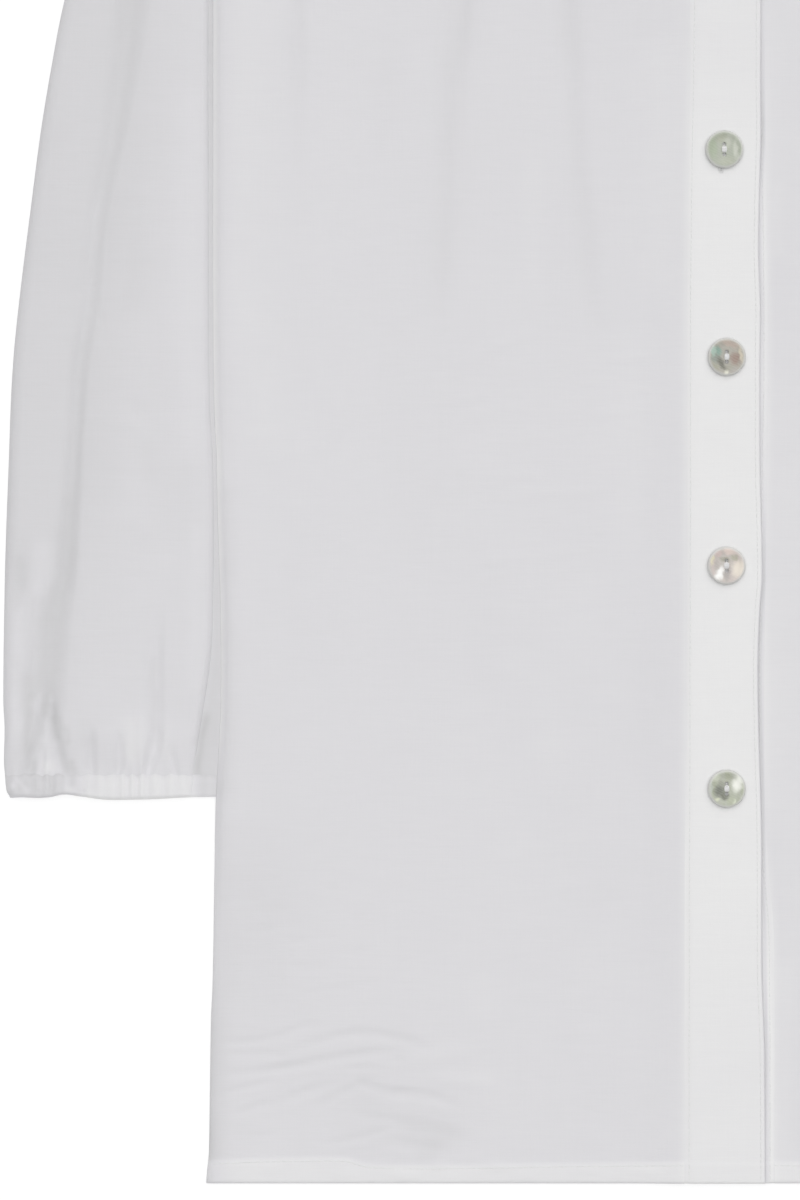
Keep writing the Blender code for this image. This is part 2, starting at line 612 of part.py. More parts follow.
def button(name, x, height, level, colour):
    """A dished shell button: a turned profile, bored twice."""
    radius = BUTTON_DIAMETER / 2
    rim = radius - BUTTON_RIM
    dish = BUTTON_THICKNESS - BUTTON_DISH
    profile = (
        (0.0, dish), (rim - BUTTON_SLOPE, dish), (rim, BUTTON_THICKNESS),
        (radius - BUTTON_BEVEL, BUTTON_THICKNESS - BUTTON_BEVEL / 3),
        (radius, BUTTON_THICKNESS - BUTTON_EDGE_DROP), (radius - BUTTON_UNDERCUT, 0.0), (0.0, 0.0),
    )
    data = bpy.data.meshes.new(name)
    data.from_pydata([(r * MM, 0.0, z * MM) for r, z in profile],
                     [(k, k + 1) for k in range(len(profile) - 1)], [])
    piece = bpy.data.objects.new(name, data)
    piece.location = (x * MM, (height - HALF_LENGTH) * MM, level * MM)
    garment.objects.link(piece)
    turn = piece.modifiers.new("turn", "SCREW")
    turn.steps = turn.render_steps = BUTTON_SEGMENTS
    turn.use_merge_vertices = True
    turn.merge_threshold = 0.00001
    for end in (-1, 1):
        bpy.ops.mesh.primitive_cylinder_add(
            vertices=8, radius=BUTTON_HOLE / 2 * MM, depth=4 * BUTTON_THICKNESS * MM,
            location=(piece.location.x, piece.location.y + end * BUTTON_HOLE_SPACING / 2 * MM,
                      piece.location.z))
        drill = bpy.context.object
        drill.name = "%s_drill_%s" % (name, "upper" if end > 0 else "lower")
        drill.display_type = "WIRE"
        drill.hide_render = True
        for collection in drill.users_collection:
            collection.objects.unlink(drill)
        cutters.objects.link(drill)
        bore = piece.modifiers.new("bore", "BOOLEAN")
        bore.operation = "DIFFERENCE"
        bore.object = drill
    data.materials.append(finish(name, colour, roughness=0.25))
    return piece


for old in list(bpy.data.objects):
    bpy.data.objects.remove(old)
garment = bpy.data.collections.new("blouse")
cutters = bpy.data.collections.new("cutters")
bpy.context.scene.collection.children.link(garment)
bpy.context.scene.collection.children.link(cutters)

WHITE = (0.71, 0.70, 0.72)
DOUBLED_WHITE = (0.79, 0.79, 0.79)
SHELL = (0.55, 0.57, 0.50)

back(WHITE)
front("right", -1, lambda height: -read(LAPS, "seam", height) + SEAM_GAP, WHITE)
front("left", 1, lambda height: read(LAPS, "under_edge", height) + SEAM_GAP, WHITE)
front_bands(DOUBLED_WHITE)
neckband(DOUBLED_WHITE)
for side, sign in (("right", -1), ("left", 1)):
    cloth_tube("sleeve_" + side, side, sign, SLEEVE_ROWS + (CASING_TOP,), sleeve_relief, 9, WHITE)
    cloth_tube("cuff_" + side, side, sign, CUFF_ROWS, cuff_relief, 30, DOUBLED_WHITE)
button_level = FRONT_LEVEL + LAP_LIFT + BAND_WALL + SEAM_GAP
for number, button_height in enumerate(BUTTON_HEIGHTS, start=1):
    button("button_%d" % number, 0.0, button_height, button_level, SHELL)
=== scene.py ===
"""Looks of a white button-through blouse laid flat with its front up, seen from straight above.

Frame: +Z up, +Y from hem to neck, +X to the wearer's left, origin on the floor under the middle.
Sizes in the tables are millimetres. A reach is measured sideways from the centre front and a height
from the hem up the garment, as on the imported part. Every piece of cloth is a thin shell on the form
of its solid, with its creases, gathers and stitches added.
"""
import math
from collections import namedtuple
from functools import partial

import bpy
import numpy as np
from mathutils import Matrix


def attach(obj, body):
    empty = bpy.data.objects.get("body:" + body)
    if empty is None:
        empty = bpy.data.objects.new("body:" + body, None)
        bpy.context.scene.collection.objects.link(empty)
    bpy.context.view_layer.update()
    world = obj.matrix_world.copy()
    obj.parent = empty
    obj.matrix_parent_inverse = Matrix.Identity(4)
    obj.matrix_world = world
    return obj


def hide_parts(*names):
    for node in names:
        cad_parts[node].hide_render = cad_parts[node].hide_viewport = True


MM = 0.001

# Heights above the hem, and reaches from the centre front
NECK_POINT = 644.0
SHOULDER_POINT = 608.0
FRONT_NECK = 580.5
BACK_NECK = 637.0
NECK_REACH = 109.5
SHOULDER_REACH = 233.5
TUCK_REACH = 198.4
RIGHT_LAP_REACH = 16.9
UNDERLAP_EDGE = -12.0
SLEEVE_HEAD = 603.5
CASING_TOP = 186.0
CASING_FOOT = 176.0

# Widths and lengths of the pieces, how far the back stays inside the fronts, and gaps at seams
NECKBAND_WIDTH = 12.0
BAND_WIDTH = 35.0
HEM_TURNING = 10.0
CASING_LENGTH = 10.25
BACK_INSET = 3.2
SEAM_GAP = 0.3
HALF_LENGTH = (NECK_POINT + NECKBAND_WIDTH * math.sin(math.radians(45)) + SEAM_GAP) / 2

# Thickness of the cloth, and the levels of its layers, where the solids have them
CLOTH = 0.42
SLEEVE_FLAT = 2.3
TUCK_LIFT = SLEEVE_FLAT + SEAM_GAP
BACK_TOP = 0.8
FRONT_TOP = 2.35
BAND_TOP = 2.7
NECKBAND_TOP = 2.65
BACK_NECKBAND_DROP = 1.35
LAP_LIFT = 1.7
BUTTON_LEVEL = 4.45
FLOOR_GAP = 0.1
TUBE_FLOOR_GAP = 0.12

# Where the body climbs over the sleeves, and the right front over the left
TUCK_RAMP_FOOT = 150.0
TUCK_RAMP_HEAD = 197.5
TUCK_END_FOOT = 104.0
TUCK_END_HEAD = 175.5
LAP_RAMP_FOOT = -42.0
LAP_RAMP_HEAD = -13.0

# How far in from each folded edge the cloth is rounded
RIM_ROLL = 4.2
HEM_ROLL = 1.3
BAND_ROLL = 1.2
BACK_ROLL = 1.2
SLEEVE_ROLL = 6.0
NOSE_ROLL = 1.2

# A front's rim: its share of the full level, how much less where it lies over the sleeve, and how
# much of its roundness is eased away there
RIM_LEVEL = 0.30
RIM_DROP = 0.38
RIM_EASE = 0.6

# Angles in degrees from which an edge looks sharp
CLOTH_SHARP_ANGLE = 50
BUTTON_SHARP_ANGLE = 42

# Turned hems and their stitches, and the bands' stitches
HEM_STEP = 0.40
BACK_HEM_STEP = 0.25
STITCH_DENT = 0.14
HEM_STITCH_INSET = 1.4
BAND_STITCH_INSET = 2.2

# Gathers at the neck, and how the cloth fans out from them. TOP_ROW is the height of a body piece's
# top row before it follows the neck and shoulder.
TOP_ROW = 600.0
FRONT_GATHERS = 9
BACK_GATHERS = 12
COLUMNS_TO_A_GATHER = 8
GATHER_DEPTH = 1.3
GATHER_LENGTH = 46.0
FAN = 22.0
FAN_DEPTH = 70.0

# Fullness of a front, and the margins at its edge and its band in which puff and creases die out
FRONT_PUFF = 1.0
PUFF_FOOT = 380.0
PUFF_RISE = 170.0
CALM_MARGIN = 14.0
CALM_AT_BAND = 22.0
CREASE_SHARE = 0.86
CREASE_MARGIN = 8.0
CREASE_AT_BAND = 9.0

# Fullness of a sleeve and its casing
SLEEVE_PUFF = 3.2
LEAST_PUFF = 0.12
CUFF_PUFF = 1.6
CUFF_WAVE = 0.34
CUFF_PITCH = 5.5
VALLEY_FOOT = 2.0

# Tones painted into the cloth's colour, in steps of grey in a photograph: whiter where layers lie
# close or cloth is doubled, painted shade where it stands off, in hollows, folds and creases and on
# rims, and painted light on edges and ends that the lamps leave too dark
CREASE_PAINTED_SHADE = 3.0
EDGE_LIGHT = 9.5
EDGE_SHADE = 5.0
ROLL_LIGHT = 7.0
TURNED_LIGHT = 12.0
SIDE_SHADE = 3.2
LOW_SIDE_SHADE = 8.5
CORNER_SHADE = 6.0
SEAM_LIGHT = 4.6
HEM_LIGHT = 6.8
HEM_EDGE_LIGHT = 16.0
BAND_LIGHT = 13.0
BAND_END_LIGHT = 12.0
NECKBAND_LIGHT = 13.5
CASING_LIGHT = 7.2
CASING_SHADE = 15.0
CASING_VALLEY_SHADE = 9.0
BEYOND_FOLD_SHADE = 4.2
OUTLINE_SHADE = 4.0

# How far the painted shade on a long fold's shoulder reaches towards the centre front
FRONT_SHOULDER_WIDTH = 12.0
SLEEVE_SHOULDER_WIDTH = 23.0


def named(kind, rows):
    """Name the columns of a table, however its rows are grouped."""
    if isinstance(rows, dict):
        return {key: named(kind, part) for key, part in rows.items()}
    if isinstance(rows[0], tuple):
        return tuple(named(kind, row) for row in rows)
    return kind(*rows)


Edge = namedtuple("Edge", "height reach")
BODY_EDGE = named(Edge, (
    (0, 236.7), (4, 236.4), (15, 235.4), (38, 235.05), (74, 234.5), (90, 233.8), (138, 232.95),
    (170, 232.4), (197, 230.9), (220, 229.9), (245, 229.8), (266, 230.2), (302, 231.3),
    (332, 231.9), (350, 232.8), (380, 233.3), (440, 233.5), (540, 233.5), (660, 233.5),
))

# The two edges of the upper front band, and the outer edge of the one under it, positive to +X
Lap = namedtuple("Lap", "height seam edge under_edge")
LAPS = named(Lap, (
    (0, -18.6, 18.4, 22.8), (60, -18.6, 18.1, 22.8), (97, -18.5, 16.9, 22.5),
    (110, -18.5, 16.8, 22.4), (150, -18.4, 16.8, 19.4), (175, -18.3, 16.4, 18.2),
    (207, -18.2, 15.5, 18), (234, -18.2, 15.1, 18), (261, -18.1, 15.9, 18.4),
    (277, -18.1, 17, 18.6), (330, -18, 16, 19.4), (371, -18, 15.9, 20), (398, -17.9, 16.2, 20),
    (425, -17.7, 15.4, 19.8), (453, -17.4, 15.8, 19.4), (480, -17, 16.5, 18.8),
    (500, -16.6, 16.3, 18.4), (560, -16, 16.4, 17.8), (600, -16, 16.4, 17.8),
))

# Tones along the bands, in steps of grey: where the band starts to look doubled at its seam (mm
# before it), the painted shade at its folded edge, the painted shadow on the band under it, and the
# painted light on the cloth beside, painted shade where negative
BandTone = namedtuple("BandTone", "height seam fold under beside")
BAND_TONES = named(BandTone, (
    (0, 3, 10, 11, 0.5), (29, 3.2, 12, 13, 0.6), (61, 3.6, 15, 19, -0.6), (100, 4.1, 16, 19, 0.4),
    (129, 4.4, 17, 22, -1.6), (155, 3.4, 17, 24, -2.2), (175, 2.5, 21, 21, 2.2),
    (220, 1.9, 26, 23, 3.4), (252, 1.8, 20, 22, 2.4), (284, 1.7, 12, 16, 0.4),
    (316, 1.9, 9, 13, 0.4), (343, 2, 12, 15, 0.4), (371, 2, 10, 13, 0.4), (403, 2.1, 13, 16, 0.4),
    (450, 2.2, 14, 15, 0.8), (480, 2.4, 22, 25, 2.2), (505, 2.6, 11, 13, 2.2),
    (535, 2.8, 6, 8, 2.2), (560, 2.8, 10, 11, 2.2),
))

# Sleeve sections, each from its inner fold under the body to the outer fold that is the outline
Section = namedtuple("Section", "inner_height outer_height outer_reach")
SLEEVE_SECTIONS = named(Section, (
    (613.5, 605.5, 229), (606, 603, 246), (598, 600.6, 255.4), (588, 589.6, 273.5),
    (575, 575, 286.2), (558, 557.7, 295.4), (540, 539.4, 301.4), (510, 509.8, 307.2),
    (480, 480.2, 312.1), (448, 448.2, 316.3), (398, 398.1, 322.5), (378, 378.1, 324.5),
    (357, 357.1, 325.8), (334, 334.2, 326.6), (275, 275, 328.6), (220, 220.2, 329.3),
    (207, 207, 328.7), (193, 192.9, 329), (184, 184, 328.4), (179.5, 179.5, 327.9),
    (176, 176, 326.3),
))
# How far beyond the body's edge the sleeve's fold stands, and the painted shade in the hollow between
Valley = namedtuple("Valley", "height width dim")
VALLEYS = named(Valley, (
    (176, 13.2, -6), (190, 12.7, -7.5), (206, 11.2, -9), (222, 9.2, -8), (234, 7.5, -9.5),
    (250, 6, -10), (266, 5.3, -11), (302, 3.9, -12), (325, 3.7, -12), (357, 4, -12), (403, 4, -13),
    (448, 4, -13.5), (494, 4.1, -15), (540, 4.1, -15), (608, 4, -15),
))

# Long soft folds, each followed down the garment. dim is the painted shade at its bottom and
# shoulder the painted shade on its side towards the centre front, in steps of grey.
Fold = namedtuple("Fold", "height reach half_width depth dim shoulder")
SLEEVE_FOLDS = named(Fold, {
    "right": (
        (186, 303.6, 5, 0.9, 0, 0), (200, 305.8, 5.5, 1.3, -1, -0.6),
        (213, 307.8, 7.2, 1.5, -7, -1), (225, 309.4, 10.4, 1.6, -9.4, -1.2),
        (252, 306.4, 9, 1.6, -10, -2), (280, 300.6, 6.2, 1.6, -10.4, -2.8),
        (307, 298.5, 5.4, 1.5, -8.8, -4.6), (339, 296.3, 4.6, 1.4, -5.6, -6.4),
        (371, 294.1, 4.6, 1.2, -5, -5.6), (403, 289.8, 5.6, 1.1, -3.2, -5.6),
        (439, 286.4, 5.4, 1.1, -2.8, -6.6), (471, 280, 6.2, 1.2, -4.6, -5.6),
        (498, 275.4, 7.6, 1.3, -5.2, -4.8), (526, 271.8, 8.8, 1.4, -6.8, -3.8),
        (560, 267, 9, 1, -5, -3), (600, 258, 8, 0, 0, 0),
    ),
    "left": (
        (186, 301, 5, 0.9, 0, 0), (204, 303, 6, 1.3, -2, 0), (216, 305, 7.4, 1.5, -7, 0),
        (240, 304, 8.6, 1.6, -8.4, -0.5), (272, 298, 7, 1.6, -9, -2),
        (306, 293.4, 6.2, 1.5, -8.4, -3.4), (345, 294.6, 5.2, 1.3, -6.2, -4.4),
        (395, 288.6, 6, 1.1, -4.2, -4.6), (440, 281, 6.8, 1.1, -3.8, -4.8),
        (480, 275, 7.8, 1.2, -5.2, -4), (515, 270.6, 9.4, 1.4, -6.4, -3.6),
        (550, 265, 9.2, 1.1, -5.4, -3.2), (600, 255, 8, 0, 0, 0),
    ),
})
FRONT_FOLDS = named(Fold, {
    "right": (
        (
            (400, 197, 9, 0, 0, 0), (440, 196.4, 8, 0.2, -0.3, 0), (470, 196, 7, 0.3, -0.9, 0),
            (498, 195.6, 6.4, 0.45, -1.8, -0.3), (526, 195.2, 5.4, 0.6, -3.2, -0.4),
            (570, 194, 5.6, 0.6, -2.8, -0.4), (608, 192, 6, 0.3, 0, 0),
        ),
        (
            (372, 133, 8, 0, 0, 0), (400, 132, 8.4, 0.35, -1.2, -0.4),
            (426, 130.8, 8.6, 0.55, -2.2, -1.4), (458, 128.8, 8, 0.55, -2.1, -0.9),
            (494, 127, 7.4, 0.65, -3.2, -0.9), (526, 122.8, 8.2, 0.7, -3.2, -2),
            (566, 118.6, 8.6, 0.7, -3, -1.6), (606, 114, 7, 0.3, 0, 0),
        ),
        (
            (374, 60.5, 7, 0, 0, 0), (402, 62.4, 7.6, 0.35, -1.4, 0),
            (426, 64.4, 8.6, 0.55, -2.4, -0.3), (458, 67.4, 7.4, 0.55, -2.5, 0),
            (494, 69.4, 6.6, 0.6, -2.8, -0.3), (526, 71.2, 6.8, 0.7, -4, -0.6),
            (560, 73, 6.4, 0.6, -3, -0.4), (590, 75, 6, 0.2, 0, 0),
        ),
    ),
    "left": (
        (
            (410, 192, 9, 0, 0, 0), (470, 191.5, 7.4, 0.3, -1, 0),
            (530, 190.4, 5.6, 0.6, -3, -0.4), (570, 189, 5.8, 0.6, -2.6, -0.4),
            (608, 187, 6, 0.3, 0, 0),
        ),
        (
            (390, 136, 8, 0, 0, 0), (430, 133.4, 8.6, 0.5, -2.2, -1.2),
            (490, 129.4, 7.6, 0.65, -3, -1), (530, 125, 8.2, 0.7, -3.2, -1.8),
            (570, 121, 8.6, 0.6, -2.8, -1.4), (606, 117, 7, 0.2, 0, 0),
        ),
        (
            (392, 68, 7, 0, 0, 0), (436, 70.4, 8, 0.5, -2.2, 0), (486, 74, 6.8, 0.6, -2.8, -0.3),
            (530, 77, 6.6, 0.7, -3.8, -0.5), (566, 79, 6.4, 0.6, -2.8, -0.4),
            (592, 80, 6, 0.2, 0, 0),
        ),
    ),
})

# Creases: a trough where depth is positive and a ridge where it is negative. bow bends the middle
# of a crease towards the neck.
Crease = namedtuple("Crease", "start_reach start_height end_reach end_height bow half_width depth")
SLEEVE_CREASES = named(Crease, {
    "right": (
        (309, 219, 317, 187, -1.8, 6, 1.9), (259.2, 250, 259.4, 203, 0, 4.6, 1.2),
        (259.4, 203, 262.6, 188, 0, 4.6, 1.3), (289, 204, 289.6, 186, 0, 3.6, 1.2),
        (276, 202, 276.4, 186, 0, 3.6, 1.2), (320, 286, 326, 262, 0, 5, 0.9),
        (313, 268, 321.5, 205, -2, 5.5, 1.3), (252, 196, 251, 186, 0, 2.6, 0.7),
        (243, 199, 241.5, 186, 0, 2.4, 0.8), (266.5, 214, 266.5, 190, 0, 3.4, -0.5),
        (294, 394, 297.5, 376, 0, 1.8, -0.22), (291.5, 410, 294, 396, 0, 1.6, -0.2),
        (286, 432, 290, 414, 0, 1.8, -0.2), (285, 398, 283, 382, 0, 2.2, 0.2),
        (272, 356, 262, 344, 0, 6, 0.25), (255, 470, 262, 400, 0, 9, 0.35),
    ),
    "left": (
        (305.5, 212, 314, 187, -1.5, 4.2, 2), (256, 236, 258, 188, 0, 4.6, 1.4),
        (286, 208, 287.5, 186, 0, 3.8, 1.3), (272, 199, 272.4, 186, 0, 3.6, 1.2),
        (262, 450, 266, 352, 2, 6, 0.9), (316, 270, 323, 208, -2, 5.5, 1.1),
        (246, 202, 245, 186, 0, 2.6, 0.8), (290, 420, 293.5, 402, 0, 1.8, -0.2),
        (252, 500, 257, 462, 0, 8, 0.3),
    ),
})
FRONT_CREASES = named(Crease, {
    "right": (
        (118, 540, 120.5, 478, 0, 3.2, 0.21),
        # across the side at the hem
        (228, 64.5, 204, 67.3, -1.2, 2.6, 0.39), (204, 66.3, 188, 72.6, 0.8, 2.8, 0.26),
        (226, 58.8, 205, 59, 0, 2.6, 0.28), (226, 50.2, 202, 52.7, -0.4, 3, 0.39),
        (203, 51.9, 160, 59.3, 0.6, 3.4, 0.62), (193, 62.4, 169, 68, 0.6, 3.4, 0.38),
        (170, 68, 141, 63.6, 1.4, 3.6, 0.44), (228, 41.2, 210, 45.8, 0, 2.7, 0.39),
        (222, 31.8, 209.5, 36.4, 0, 2.7, 0.35), (201, 37.8, 181, 44.9, 0.4, 3.4, 0.42),
        (186, 35.5, 165.5, 45.3, 0, 3.4, 0.37), (165.5, 45.3, 148, 41.1, -0.8, 3.4, 0.46),
        (150, 40.9, 127.5, 37.7, 1, 3.8, 0.52), (171, 52.3, 158.6, 52.3, 0, 2.3, 0.28),
        (178, 18.7, 155, 24.3, -0.6, 2.9, 0.35), (146, 27, 121, 21, 0, 6.5, 0.43),
        (152, 56.3, 146.5, 56.3, 0, 2.3, 0.23), (216, 21.4, 207, 22.4, 0, 2.3, 0.2),
        (166, 31, 149, 28.6, 0, 3, 0.3), (150, 18.5, 127, 15.5, 0, 4, 0.35),
        (132, 47.5, 112, 46, 0, 5, -0.32), (140, 57, 118, 60, 0, 6, -0.26),
        # dashes above them
        (210.5, 138.6, 204.5, 138.8, 0, 2.1, 0.27), (183, 134.8, 177, 134.6, 0, 2.1, 0.2),
        (217, 115, 206, 116.2, 0, 2.1, 0.27), (203, 118.6, 195, 118, 0, 2.1, 0.23),
        (200, 111.4, 193, 110.4, 0, 2.1, 0.23), (185, 112.6, 178, 112.4, 0, 2.1, 0.2),
        (171.5, 105.2, 162, 106.4, 0, 2.2, 0.22), (197, 99.2, 183.5, 98.6, -0.4, 2.2, 0.27),
        (170, 120.6, 164, 121.6, 0, 2.1, 0.2), (214, 124.6, 200, 125.4, 0, 2.1, 0.16),
        (206, 93.6, 201, 93.8, 0, 2.1, 0.2), (150, 101, 138, 102, 0, 2.2, 0.16),
        (222, 130, 212, 129.4, 0, 2.1, 0.18), (190, 86.9, 172, 88.4, 0.4, 2.5, 0.16),
        (166, 91, 150, 93, 0, 2.4, 0.18), (220, 105, 208, 105.6, 0, 2.2, 0.2),
        # fine ridges across the middle of the front
        (123, 375.6, 103.5, 382.4, -1, 2.8, -0.23), (103.5, 382.4, 90, 388, 0, 2.8, -0.25),
        (123, 356.6, 109, 359.8, 0, 2.3, -0.17), (109, 353.8, 92, 354.4, 0.6, 2.5, -0.18),
        (102.5, 322.4, 84, 322.4, 0, 2.5, -0.23), (102.5, 313.4, 75, 314.2, 0.8, 2.5, -0.21),
        (75, 314.2, 56, 318, -0.6, 2.5, -0.21), (109.5, 283.6, 94, 286.2, 0, 2.5, -0.23),
        (94, 286.2, 57, 290.6, -0.8, 2.5, -0.18), (84, 262.4, 76, 262.6, 0, 2.5, -0.18),
        (52, 376.6, 38, 377.2, 0, 3, -0.16), (60, 351, 34, 354, 0, 3, -0.16),
        (96, 402, 80, 405, 0, 2.2, -0.11), (112, 339, 88, 341, 0, 2.8, -0.13),
        (90, 331, 60, 336, 0.8, 2.8, -0.14), (68, 303, 36, 307, 0, 3, -0.13),
        (100, 235, 74, 239, 0, 3, -0.13), (80, 219, 48, 223, 0, 3.2, -0.13),
        (104, 148, 66, 156, 1, 4.5, -0.14), (88, 132, 60, 138, 0, 4.5, -0.13),
    ),
    "left": (
        (140, 545, 143, 500, 0, 3.2, 0.18), (229, 70.7, 196, 75.2, -0.8, 2.9, 0.39),
        (196, 75.1, 170, 82.6, 0.6, 3.1, 0.46), (226, 56.7, 204, 58.7, 0, 2.9, 0.35),
        (206, 50.5, 166, 56.5, 0.8, 3.2, 0.59), (168, 62.6, 140, 59.1, 1.2, 3.1, 0.43),
        (226, 38.7, 206, 44.2, 0, 2.9, 0.39), (198, 36.7, 172, 44.7, 0.4, 3, 0.43),
        (160, 42.5, 132, 36.5, 0.8, 3.2, 0.51), (148, 26, 120, 22, 0, 6.5, 0.41),
        (214, 131, 205, 131.6, 0, 2.2, 0.26), (196, 121, 186, 120.6, 0, 2.2, 0.23),
        (218, 109, 204, 110.6, 0, 2.2, 0.26), (182, 103, 168, 104.4, 0, 2.2, 0.22),
        (202, 95, 190, 94, 0, 2.2, 0.23), (118, 391, 94, 398, -1, 2.8, -0.22),
        (112, 365, 90, 368, 0, 2.5, -0.18), (100, 335, 72, 337, 0.8, 2.5, -0.21),
        (94, 317, 58, 321, -0.6, 2.5, -0.18), (104, 291, 70, 295, 0, 2.6, -0.18),
        (80, 261, 52, 264, 0, 3, -0.16), (60, 371, 40, 373, 0, 3, -0.16),
        (96, 150, 62, 157, 1, 4.5, -0.11),
    ),
})
BACK_CREASES = named(Crease, (
    (170, 560, 158, 380, 0, 12, 0.18), (60, 600, 66, 430, 0, 10, 0.18),
    (-48, 600, -60, 450, 0, 10, 0.18), (-150, 570, -164, 400, 0, 12, 0.18),
))

# Strokes along which the cloth is coloured whiter, where layers lie close, or dimmer: painted light
# and painted shade, the shade where it stands off in a fold. An amount of 1 is about one step of
# grey in a photograph.
Stroke = namedtuple("Stroke", "start_reach start_height end_reach end_height start_width end_width"
                              " amount")
FRONT_STROKES = named(Stroke, {
    "right": (
        (229, 340, 229, 285, 2.4, 2.4, 2.5), (165, 56, 158, 14, 22, 20, -1.5),
        (148, 80, 148, 60, 13, 13, -1.2), (136, 17, 134, 9, 9, 6, -2.4),
        # over the sleeve, and beside the folds from the gathered neck
        (220, 620, 219, 380, 20, 17, 1.8), (88.5, 470, 88, 410, 7.5, 7, 1.3),
        (211, 376, 209, 338, 13, 12, 1.7), (203, 158, 200, 138, 16, 14, 1),
        (29, 520, 30, 405, 13, 12, 1.8), (44, 392, 43, 290, 15, 15, 1.2),
        (152, 520, 158, 470, 12, 10, -0.7), (146, 400, 156, 350, 14, 12, -0.5),
        # soft clouds down the front
        (59, 282, 76, 250, 14, 13, 0.9), (80, 238, 80, 192, 12, 11, 0.8),
        (92, 168, 98, 136, 12, 10, 0.9), (110, 94, 111, 74, 9, 8, 1.3),
        (116, 52, 104, 48, 7, 6, 1.2), (84, 78, 82, 60, 12, 10, 0.8),
        (112, 262, 108, 222, 12, 12, -0.6), (190, 300, 176, 190, 24, 24, -0.6),
        (130, 330, 140, 296, 12, 12, -0.5), (196, 350, 192, 320, 14, 12, 0.7),
        (36, 250, 38, 190, 12, 12, -0.6), (48, 130, 60, 60, 16, 16, 0.4),
        (229, 318, 228, 176, 5, 5, -3.2),
        # the lower side
        (212, 158, 210, 76, 24, 22, -1.7), (224, 118, 224, 84, 8, 8, -1.4),
        (148, 25, 121, 21, 8.5, 8, -2.6), (137, 17.5, 129, 17, 6, 5, -1.8),
        (205, 52, 160, 34, 14, 12, -0.8), (222, 24, 214, 22, 8, 7, -1),
        (50, 24, 40, 26, 10, 9, -0.9),
    ),
    "left": (
        (27, 100, 27, 8, 6, 6, 2.2), (24, 458, 24, 424, 4, 4, 2),
        (220, 620, 219, 384, 20, 17, 1.8), (38, 480, 40, 380, 13, 13, 1.3),
        (92, 420, 90, 350, 12, 12, 0.8), (66, 300, 84, 240, 14, 14, 0.9),
        (120, 280, 124, 220, 13, 13, -0.6), (100, 120, 106, 84, 12, 10, 1),
        (212, 160, 210, 80, 24, 22, -1.6), (150, 26, 126, 22, 8.5, 8, -2.2),
        (40, 240, 42, 170, 12, 12, -0.6), (190, 300, 178, 200, 24, 22, -0.6),
    ),
})
SLEEVE_STROKES = named(Stroke, {
    "right": (
        # the puff that the long fold forks round
        (306.2, 219, 304.6, 202, 2.6, 2.6, -8), (304.8, 206, 299, 187, 2.6, 3.2, -7),
        (315.4, 216, 317.6, 187, 5.6, 4.2, -6), (308.4, 193, 308.2, 187, 3.6, 4.4, 9),
        (311.4, 211, 312.2, 204, 1.8, 1.8, -4), (314.6, 193, 314.2, 187, 1.8, 1.8, -2),
        (311.9, 223, 311.9, 214, 1.4, 1.4, 4.5), (309.2, 223, 309.2, 213, 1.4, 1.4, -4.5),
        (316.2, 224, 316.2, 212, 2.2, 2.2, -3.5), (311.4, 197, 311.2, 190, 1.6, 1.6, 4),
        (300.6, 208, 300.4, 200, 1.7, 1.7, -5), (303.4, 206, 303.2, 202, 1.4, 1.4, 3),
        (318, 223, 319.2, 196, 2.4, 2.8, -4.5), (314.4, 193, 314.8, 186, 2.4, 3, -7),
        (310, 219, 309.8, 211, 1.8, 2, -3.5), (303.2, 213, 302.4, 206, 1.8, 2, -4.5),
        (311.8, 207, 312.2, 199, 2.2, 2, -2), (297.6, 193, 295.4, 185, 2.2, 2.4, -7.5),
        (306.6, 222, 306.4, 213, 1.6, 1.6, 7), (322.5, 222, 322.8, 206, 2.4, 2.4, 2.5),
        (292, 198, 291, 188, 3.4, 3.4, 2.5),
        # beside the long fold
        (237.4, 214, 240.6, 186, 2.2, 2.6, -9), (241, 300, 241.5, 225, 5, 5, 1.8),
        (245, 500, 244, 330, 12, 9, 2.2), (311, 292, 312, 268, 5.6, 5.6, 4.6),
        (322, 286, 320, 270, 4.5, 4.5, -4), (321.5, 262, 322.5, 240, 4.4, 4.2, 3),
        (323.5, 236, 324, 198, 3.2, 3, 1.6), (263, 340, 261, 318, 6, 5, -1.8),
        (318, 232, 316, 220, 4.6, 4.6, -5), (266, 432, 269, 398, 7, 8, -1.4),
        (252, 376, 250, 300, 12, 12, -0.8), (272, 326, 266, 296, 8, 8, 0.8),
        # gathers
        (240, 199, 280, 199, 11, 11, 2.6), (270.4, 214, 269, 190, 8, 6, 4.4),
        (260.4, 240, 260.8, 206, 2.8, 3, -4), (289, 206, 289.4, 188, 3, 2.6, -3),
        (277, 200, 277.2, 188, 2.8, 2.6, -2), (292.6, 212, 293.6, 202, 3.4, 3, -1.4),
        (254.4, 214, 254, 188, 3, 3, 1.6), (271, 302, 262, 292, 5, 5, -0.8),
    ),
    "left": (
        (302.6, 220, 300.4, 203, 2.6, 2.6, -8), (300.6, 207, 295.4, 187, 2.6, 3.2, -7),
        (311, 218, 314, 187, 5.6, 4.2, -7), (306, 201, 305.4, 187, 4, 4.6, 8.5),
        (244, 486, 244, 336, 11, 10, 1.4), (321, 262, 322.5, 200, 4.2, 4, 2.4),
        (309, 300, 310, 276, 5.6, 5.6, 3.6), (252, 380, 250, 306, 12, 12, -0.8),
        (240, 199, 290, 199, 11, 11, 2.6), (268.6, 214, 268.4, 190, 6, 4, 3),
        (257, 238, 258, 200, 2.8, 3, -3.6), (286, 206, 287, 188, 3, 2.8, -2.8),
        (276, 240, 280, 214, 6, 5, -0.9),
    ),
})
